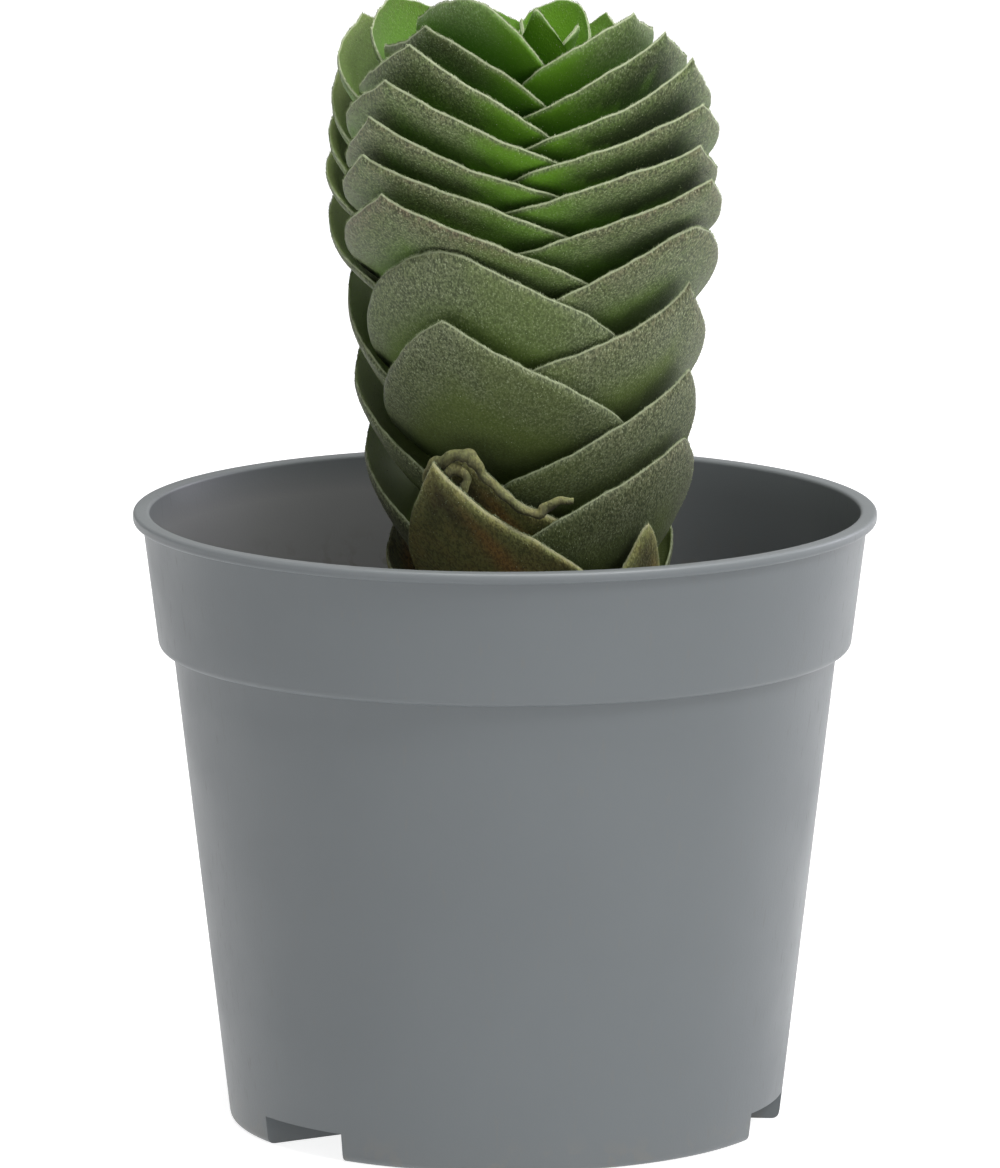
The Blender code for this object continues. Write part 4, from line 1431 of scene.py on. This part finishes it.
@dataclass(frozen=True)
class Pot:
    """A thin moulded shell with a collar and a lip, on three feet with channels between them."""

    sides: int = 180
    height: float = 99.7
    rim_radius: float = 60.0
    lip_height: float = 1.72
    lip_round: float = 0.6
    lip_inner_radius: float = 57.36
    collar_top_radius: float = 58.47
    collar_foot_radius: float = 55.88
    collar_foot_height: float = 77.6
    collar_round: float = 1.1
    body_top_radius: float = 53.65
    body_foot_radius: float = 44.58
    wall: float = 0.9
    floor_underside: float = 4.65
    floor_top: float = 5.75
    floor_round: float = 1.3
    foot_round: float = 1.2
    foot_inner_radius: float = 27.0
    foot_span: float = 97.0
    foot_azimuths: tuple[float, ...] = (13.0, 133.0, 253.0)
    foot_inner_round: float = 0.6
    channel_inner_radius: float = 12.0
    drain_radius: float = 3.0
    drain_distance: float = 33.0
    soft_edge: float = 0.25
    longest_bend: float = 0.45
    arc_steps: int = 5
    ring_step: float = 5.0
    channel_turn: float = 60.0
    channel_outer_radius: float = 70.0
    cut_margin: float = 2.0
    drain_sides: int = 36
    floor_margin: float = 0.1
    dusty_heights: Span = (88.0, 76.0)
    splashed_heights: Span = (4.0, 0.0)
    splash_share: float = 0.4
    # Where light is painted on the inner wall: strongest toward -X, fading toward +X.
    film_sides: Span = (-12.0, 38.0)
    film_fade: float = 0.85
    # The lip's paler top band: partly rubbed wear, partly painted highlight.
    worn_depths: Span = (0.9, 0.1)
    worn_share: float = 0.8
    turned_angle: float = 35.0
    cut_angle: float = 30.0

    def inner_radius(self, height: float) -> float:
        """Give the inner wall's radius at a height below the collar."""
        slope = (self.body_top_radius - self.body_foot_radius) / self.collar_foot_height
        return self.body_foot_radius + slope * height - self.wall

    def section(self) -> list[tuple[float, float, float]]:
        """List the section's corners as (radius, height, how far the corner is rounded)."""
        lip_foot = self.height - self.lip_height
        ring, bead = self.soft_edge, self.lip_round
        return [
            (1.0, self.floor_underside, 0.0),
            (self.foot_inner_radius, self.floor_underside, ring),
            (self.foot_inner_radius, 0.0, self.foot_inner_round),
            (self.body_foot_radius, 0.0, self.foot_round),
            (self.body_top_radius, self.collar_foot_height, ring),
            (self.collar_foot_radius, self.collar_foot_height, self.collar_round),
            (self.collar_top_radius, lip_foot, ring),
            (self.rim_radius, lip_foot, bead),
            (self.rim_radius, self.height, bead),
            (self.lip_inner_radius, self.height, bead),
            (self.collar_foot_radius - self.wall, self.collar_foot_height + self.wall, ring),
            (self.body_top_radius - self.wall, self.collar_foot_height, ring),
            (self.inner_radius(self.floor_top), self.floor_top, self.floor_round),
            (1.0, self.floor_top, 0.0),
        ]

    def outline(self) -> list[tuple[float, float]]:
        """Turn the section's corners into points, with an arc at each rounded corner."""
        corners = self.section()
        places = []
        for number, (radius, height, bend) in enumerate(corners):
            here = Vector((radius, height))
            if bend == 0.0:
                places.append(tuple(here))
                continue
            ways = [Vector(corners[number + step][:2]) - here for step in (-1, 1)]
            ends = [here + way.normalized() * min(bend, self.longest_bend * way.length) for way in ways]
            for step in range(self.arc_steps + 1):
                t = step / self.arc_steps
                point = ends[0] * (1 - t) ** 2 + here * (2 * t * (1 - t)) + ends[1] * t**2
                places.append(tuple(point))
        fine = [places[0]]
        for start, end in zip(places, places[1:]):
            count = max(1, round(hypot(end[0] - start[0], end[1] - start[1]) / self.ring_step))
            shares = [step / count for step in range(1, count + 1)]
            fine += [tuple(a + (b - a) * share for a, b in zip(start, end)) for share in shares]
        return fine

    def prism(self, name: str, corners: Sequence[tuple[float, float]], low: float, high: float) -> Thing:
        """Make an upright prism that cuts the shell."""
        points = np.array([(x, y, z) for z in (low, high) for x, y in corners])
        return new_object(name, solid_mesh(name, points, tube_faces(2, len(corners))))

    def cutters(self) -> list[Thing]:
        """Make what cuts a channel and a drain hole between each two feet."""
        made = []
        half = 0.5 * (360.0 / len(self.foot_azimuths) - self.foot_span)
        near, far = self.channel_inner_radius, self.channel_outer_radius
        turns = full_turn(self.drain_sides)
        for number, foot in enumerate(self.foot_azimuths):
            middle = foot + self.channel_turn
            arms = ((near, -half), (far, -half), (far, half), (near, half))
            corners = [plan_point(distance, middle + turn) for distance, turn in arms]
            made.append(self.prism(f"channel_{number}", corners, -self.cut_margin, self.floor_underside))
            x, y = plan_point(self.drain_distance, middle)
            ring = [(x + self.drain_radius * cos(a), y + self.drain_radius * sin(a)) for a in turns]
            low, high = self.floor_underside - self.cut_margin, self.floor_top + self.cut_margin
            made.append(self.prism(f"drain_{number}", ring, low, high))
        return made

    def marks(self, mesh: Mesh) -> dict[str, Array]:
        """Work out where the shell is dusty, where light is painted on its inner wall, and where its lip's
        top is paler, partly worn and partly a painted highlight.
        """
        places = places_of(mesh) / MM
        radius, height = np.hypot(places[:, 0], places[:, 1]), places[:, 2]
        lip_foot = self.height - self.lip_height
        below = self.inner_radius(height) + 0.5 * self.wall
        rise = lip_foot - self.collar_foot_height
        slope = (self.lip_inner_radius - self.collar_foot_radius + self.wall) / rise
        above = self.collar_foot_radius - 0.5 * self.wall + slope * (height - self.collar_foot_height)
        middle = np.where(height > self.collar_foot_height + 0.5 * self.wall, above, below)
        inside = (height > self.floor_top - self.floor_margin) & (height < self.height - self.lip_round)
        inside &= radius < middle
        dust = inside * smooth(height, *self.dusty_heights)
        dust = dust + self.splash_share * smooth(height, *self.splashed_heights)
        # painted light on the inner wall, fading toward +X
        film = inside * (1.0 - self.film_fade * smooth(places[:, 0], *self.film_sides))
        # paler lip top: partly wear, partly painted highlight
        worn = self.worn_share * smooth(height, *(self.height - depth for depth in self.worn_depths))
        return {"film": film, "dust": dust, "worn": worn}

    def build(self, material: Material) -> Thing:
        """Turn the section about Z, cut the channels and drain holes, and mark its dust, its wear and its
        painted light.
        """
        outline = self.outline()
        turns = full_turn(self.sides)
        points = np.concatenate([ring_of(turns, radius, height) for radius, height in outline])
        faces = tube_faces(len(outline), self.sides)
        shell = new_object("pot_shell_whole", solid_mesh("pot_shell", points, faces, self.turned_angle))
        cutters = self.cutters()
        for cutter in cutters:
            modifier = shell.modifiers.new(cutter.name, "BOOLEAN")
            modifier.operation, modifier.solver, modifier.object = "DIFFERENCE", "EXACT", cutter
        mesh = plain_copy(shell, "pot_shell")
        for cutter in cutters:
            bpy.data.objects.remove(cutter, do_unlink=True)
        mesh.shade_smooth()
        mesh.set_sharp_from_angle(angle=radians(self.cut_angle))
        keep_marks(mesh, self.marks(mesh))
        return finish_piece(new_object("pot_shell", mesh, material), "pot_plastic", "pot")


class Strewn(NamedTuple):
    """Grains strewn on the soil: how many on a square metre, and their radii in millimetres."""

    name: str
    seed: int
    density: float
    smallest: float
    largest: float


@dataclass(frozen=True)
class Soil:
    """The soil bed, its loose crumbs and a few pale grains."""

    pot: Pot = Pot()
    stem: Stem = Stem()
    seat_gap: float = 0.35
    edge_height: float = 76.2
    edge_drop: float = 0.6
    mound: float = 1.4
    hole_depth: float = 24.0
    roughness: float = 0.35
    waves: Table = ((3, 1.0), (7, -2.0), (11, 3.0), (23, 0.9), (37, -1.7))
    edge_calm: float = 3.0
    middle_calm: float = 12.0
    crisp_angle: float = 50.0
    crumbs: Strewn = Strewn("soil_crumbs", 3, 0.38e6, 0.25, 1.3)
    pale_grains: Strewn = Strewn("pale_grains", 9, 0.018e6, 0.6, 1.5)
    strewn_drop: float = 0.5
    strewn_gap: float = 1.5
    sides: int = 150
    rings: int = 36

    def section(self, edge: float, hole: float) -> list[tuple[float, float, float]]:
        """List the bed's rings as (radius, height, whether it is on the top), from the foot inward."""
        foot = self.pot.inner_radius(self.pot.floor_top)
        rise = self.pot.floor_round + self.seat_gap
        shares = np.linspace(0.0, 1.0, self.rings)
        return [
            (foot - rise, self.pot.floor_top + self.seat_gap, 0.0),
            (foot - self.seat_gap, self.pot.floor_top + rise, 0.0),
            (edge, self.edge_height - self.edge_drop, 0.0),
            *((edge + (hole - edge) * share, self.edge_height + self.mound * share, 1.0) for share in shares),
            (hole, self.edge_height - self.hole_depth, 0.0),
        ]

    def build(self, material: Material, grain: Material, pale: Material) -> None:
        """Build the bed with a lumpy top and a hole for the stem, and strew its grains."""
        turns = full_turn(self.sides)
        edge = self.pot.inner_radius(self.edge_height) - self.seat_gap
        hole = self.stem.foot_radius + self.seat_gap
        rings = []
        for radius, height, top in self.section(edge, hole):
            inward = (edge - radius) / edge if top else float(radius == hole)
            lumps = sum(np.sin(count * turns + turn * radius) for count, turn in self.waves)
            calm = min(1.0, (edge - radius) / self.edge_calm) * min(1.0, radius / self.middle_calm)
            z = height + top * calm * self.roughness * lumps
            rings.append(ring_of(turns, radius, z, self.stem.axis(self.edge_height) * inward))
        points = np.concatenate(rings)
        mesh = solid_mesh("soil_bed", points, tube_faces(len(rings), self.sides), self.crisp_angle)
        away = np.hypot(points[:, 0], points[:, 1])
        on_top = (points[:, 2] > self.edge_height - self.strewn_drop) & (away < edge - self.strewn_gap)
        keep_marks(mesh, {"fuzz": on_top.astype(float)})
        strewn = ((self.crumbs, grain), (self.pale_grains, pale))
        carriers = [mesh.copy() for _ in strewn]
        finish_piece(new_object("soil_bed", mesh, material), "potting_soil", "soil")
        for carrier, (kind, finish) in zip(carriers, strewn):
            sizes = {"density": kind.density, "smallest": kind.smallest * MM, "largest": kind.largest * MM}
            piece = Grower.grow(Growth.CRUMBS, kind.name, carrier, finish, kind.seed, **sizes)
            finish_piece(piece, "potting_soil")


@dataclass(frozen=True)
class Lamp:
    """A soft square light: where it stands, what it aims at, its size and its power."""

    name: str
    place: tuple[float, float, float]
    size: float
    power: float
    colour: Colour = (1.0, 1.0, 1.0)

    AIM = (0.0, 0.0, 0.11)

    def build(self) -> None:
        """Put the light in the scene, aimed at the middle of the plant."""
        data = bpy.data.lights.new(self.name, "AREA")
        data.shape, data.size, data.energy, data.color = "SQUARE", self.size, self.power, self.colour
        lamp = bpy.data.objects.new(self.name, data)
        lamp.location = self.place
        aim = Vector(self.AIM) - Vector(self.place)
        lamp.rotation_euler = aim.to_track_quat("-Z", "Y").to_euler()
        bpy.context.scene.collection.objects.link(lamp)


@dataclass(frozen=True)
class Studio:
    """The pale floor, the soft lights and the camera that stands where the photographer stood."""

    floor_size: float = 8.0
    floor_drop: float = 0.00005
    camera_distance: float = 2.0136
    camera_height: float = 0.4494
    camera_pitch: float = -0.1779
    camera_yaw: float = 0.0004
    lens: float = 390.6
    sensor: float = 36.0
    ambient: Span = (0.12, 0.62)
    lamps: tuple[Lamp, ...] = (
        Lamp("key_light", (0.95, -0.95, 1.4), 0.6, 15.0),
        Lamp("top_light", (0.0, -0.5, 1.9), 0.7, 22.0),
        Lamp("front_light", (0.9, -2.0, 0.75), 1.2, 4.0),
        Lamp("edge_light", (1.3, 0.9, 0.45), 0.6, 6.0, (0.9, 0.88, 1.0)),
    )

    def build(self, material: Material) -> None:
        """Lay the floor, hang the lights and set the camera."""
        half = 0.5 * self.floor_size
        mesh = bpy.data.meshes.new("floor")
        corners = ((-half, -half), (half, -half), (half, half), (-half, half))
        mesh.from_pydata([(x, y, -self.floor_drop) for x, y in corners], [], [(0, 1, 2, 3)])
        new_object("floor", mesh, material)
        world = bpy.data.worlds.new("studio")
        world.use_nodes = True
        graph = Graph(world.node_tree)
        way = graph.out("ShaderNodeTexCoord", socket="Generated")
        toward_right = graph.out("ShaderNodeSeparateXYZ", {"Vector": way}, "X")
        sky = world.node_tree.nodes["Background"]
        sky.inputs["Color"].default_value = (1.0, 1.0, 1.0, 1.0)
        world.node_tree.links.new(graph.span(toward_right, -1.0, 1.0, *self.ambient), sky.inputs["Strength"])
        scene = bpy.context.scene
        scene.world = world
        scene.view_settings.view_transform = "Standard"
        for lamp in self.lamps:
            lamp.build()
        data = bpy.data.cameras.new("camera")
        data.lens, data.sensor_width, data.sensor_fit = self.lens, self.sensor, "AUTO"
        camera = bpy.data.objects.new("camera", data)
        camera.location = (0.0, -self.camera_distance, self.camera_height)
        camera.rotation_euler = (0.5 * pi + self.camera_pitch, 0.0, self.camera_yaw)
        scene.collection.objects.link(camera)
        scene.camera = camera


def main() -> None:
    """Build the pot, the soil, the stem, the leaves and the studio."""
    logging.basicConfig(level=logging.INFO, format="%(message)s")
    Studio().build(PaleFloor("pale_floor", roughness=0.8).make())
    Pot().build(MouldedPlastic("moulded_plastic", roughness=0.42).make())
    browns = {"dark": (0.03, 0.02, 0.013), "brown": (0.09, 0.06, 0.04), "speck": (0.2, 0.15, 0.1)}
    grain = EarthFinish("soil_grain", roughness=0.95, **browns, scale=1500.0)
    greys = {"dark": (0.3, 0.28, 0.25), "brown": (0.5, 0.48, 0.44), "speck": (0.6, 0.58, 0.54)}
    pale = EarthFinish("pale_grain", roughness=0.9, **greys, scale=1200.0)
    earth = EarthFinish("potting_earth", roughness=0.95)
    Soil().build(earth.make(), grain.make(), pale.make())
    foliage = Foliage()
    scars = [pair.base - foliage.stem.scar_drop for pair in foliage.pairs]
    foliage.stem.build(StemSkin("stem_bark", roughness=0.7).make(), scars)
    dry_skin = DrySkin("dry_leaf_skin", roughness=0.75).make()
    skin = LeafSkin("leaf_skin", roughness=0.62).make()
    foliage.build(skin, dry_skin, HairFinish("frosted_hair", roughness=0.55).make())
    CurledMargin().build(dry_skin)


if __name__ == "__main__":
    main()
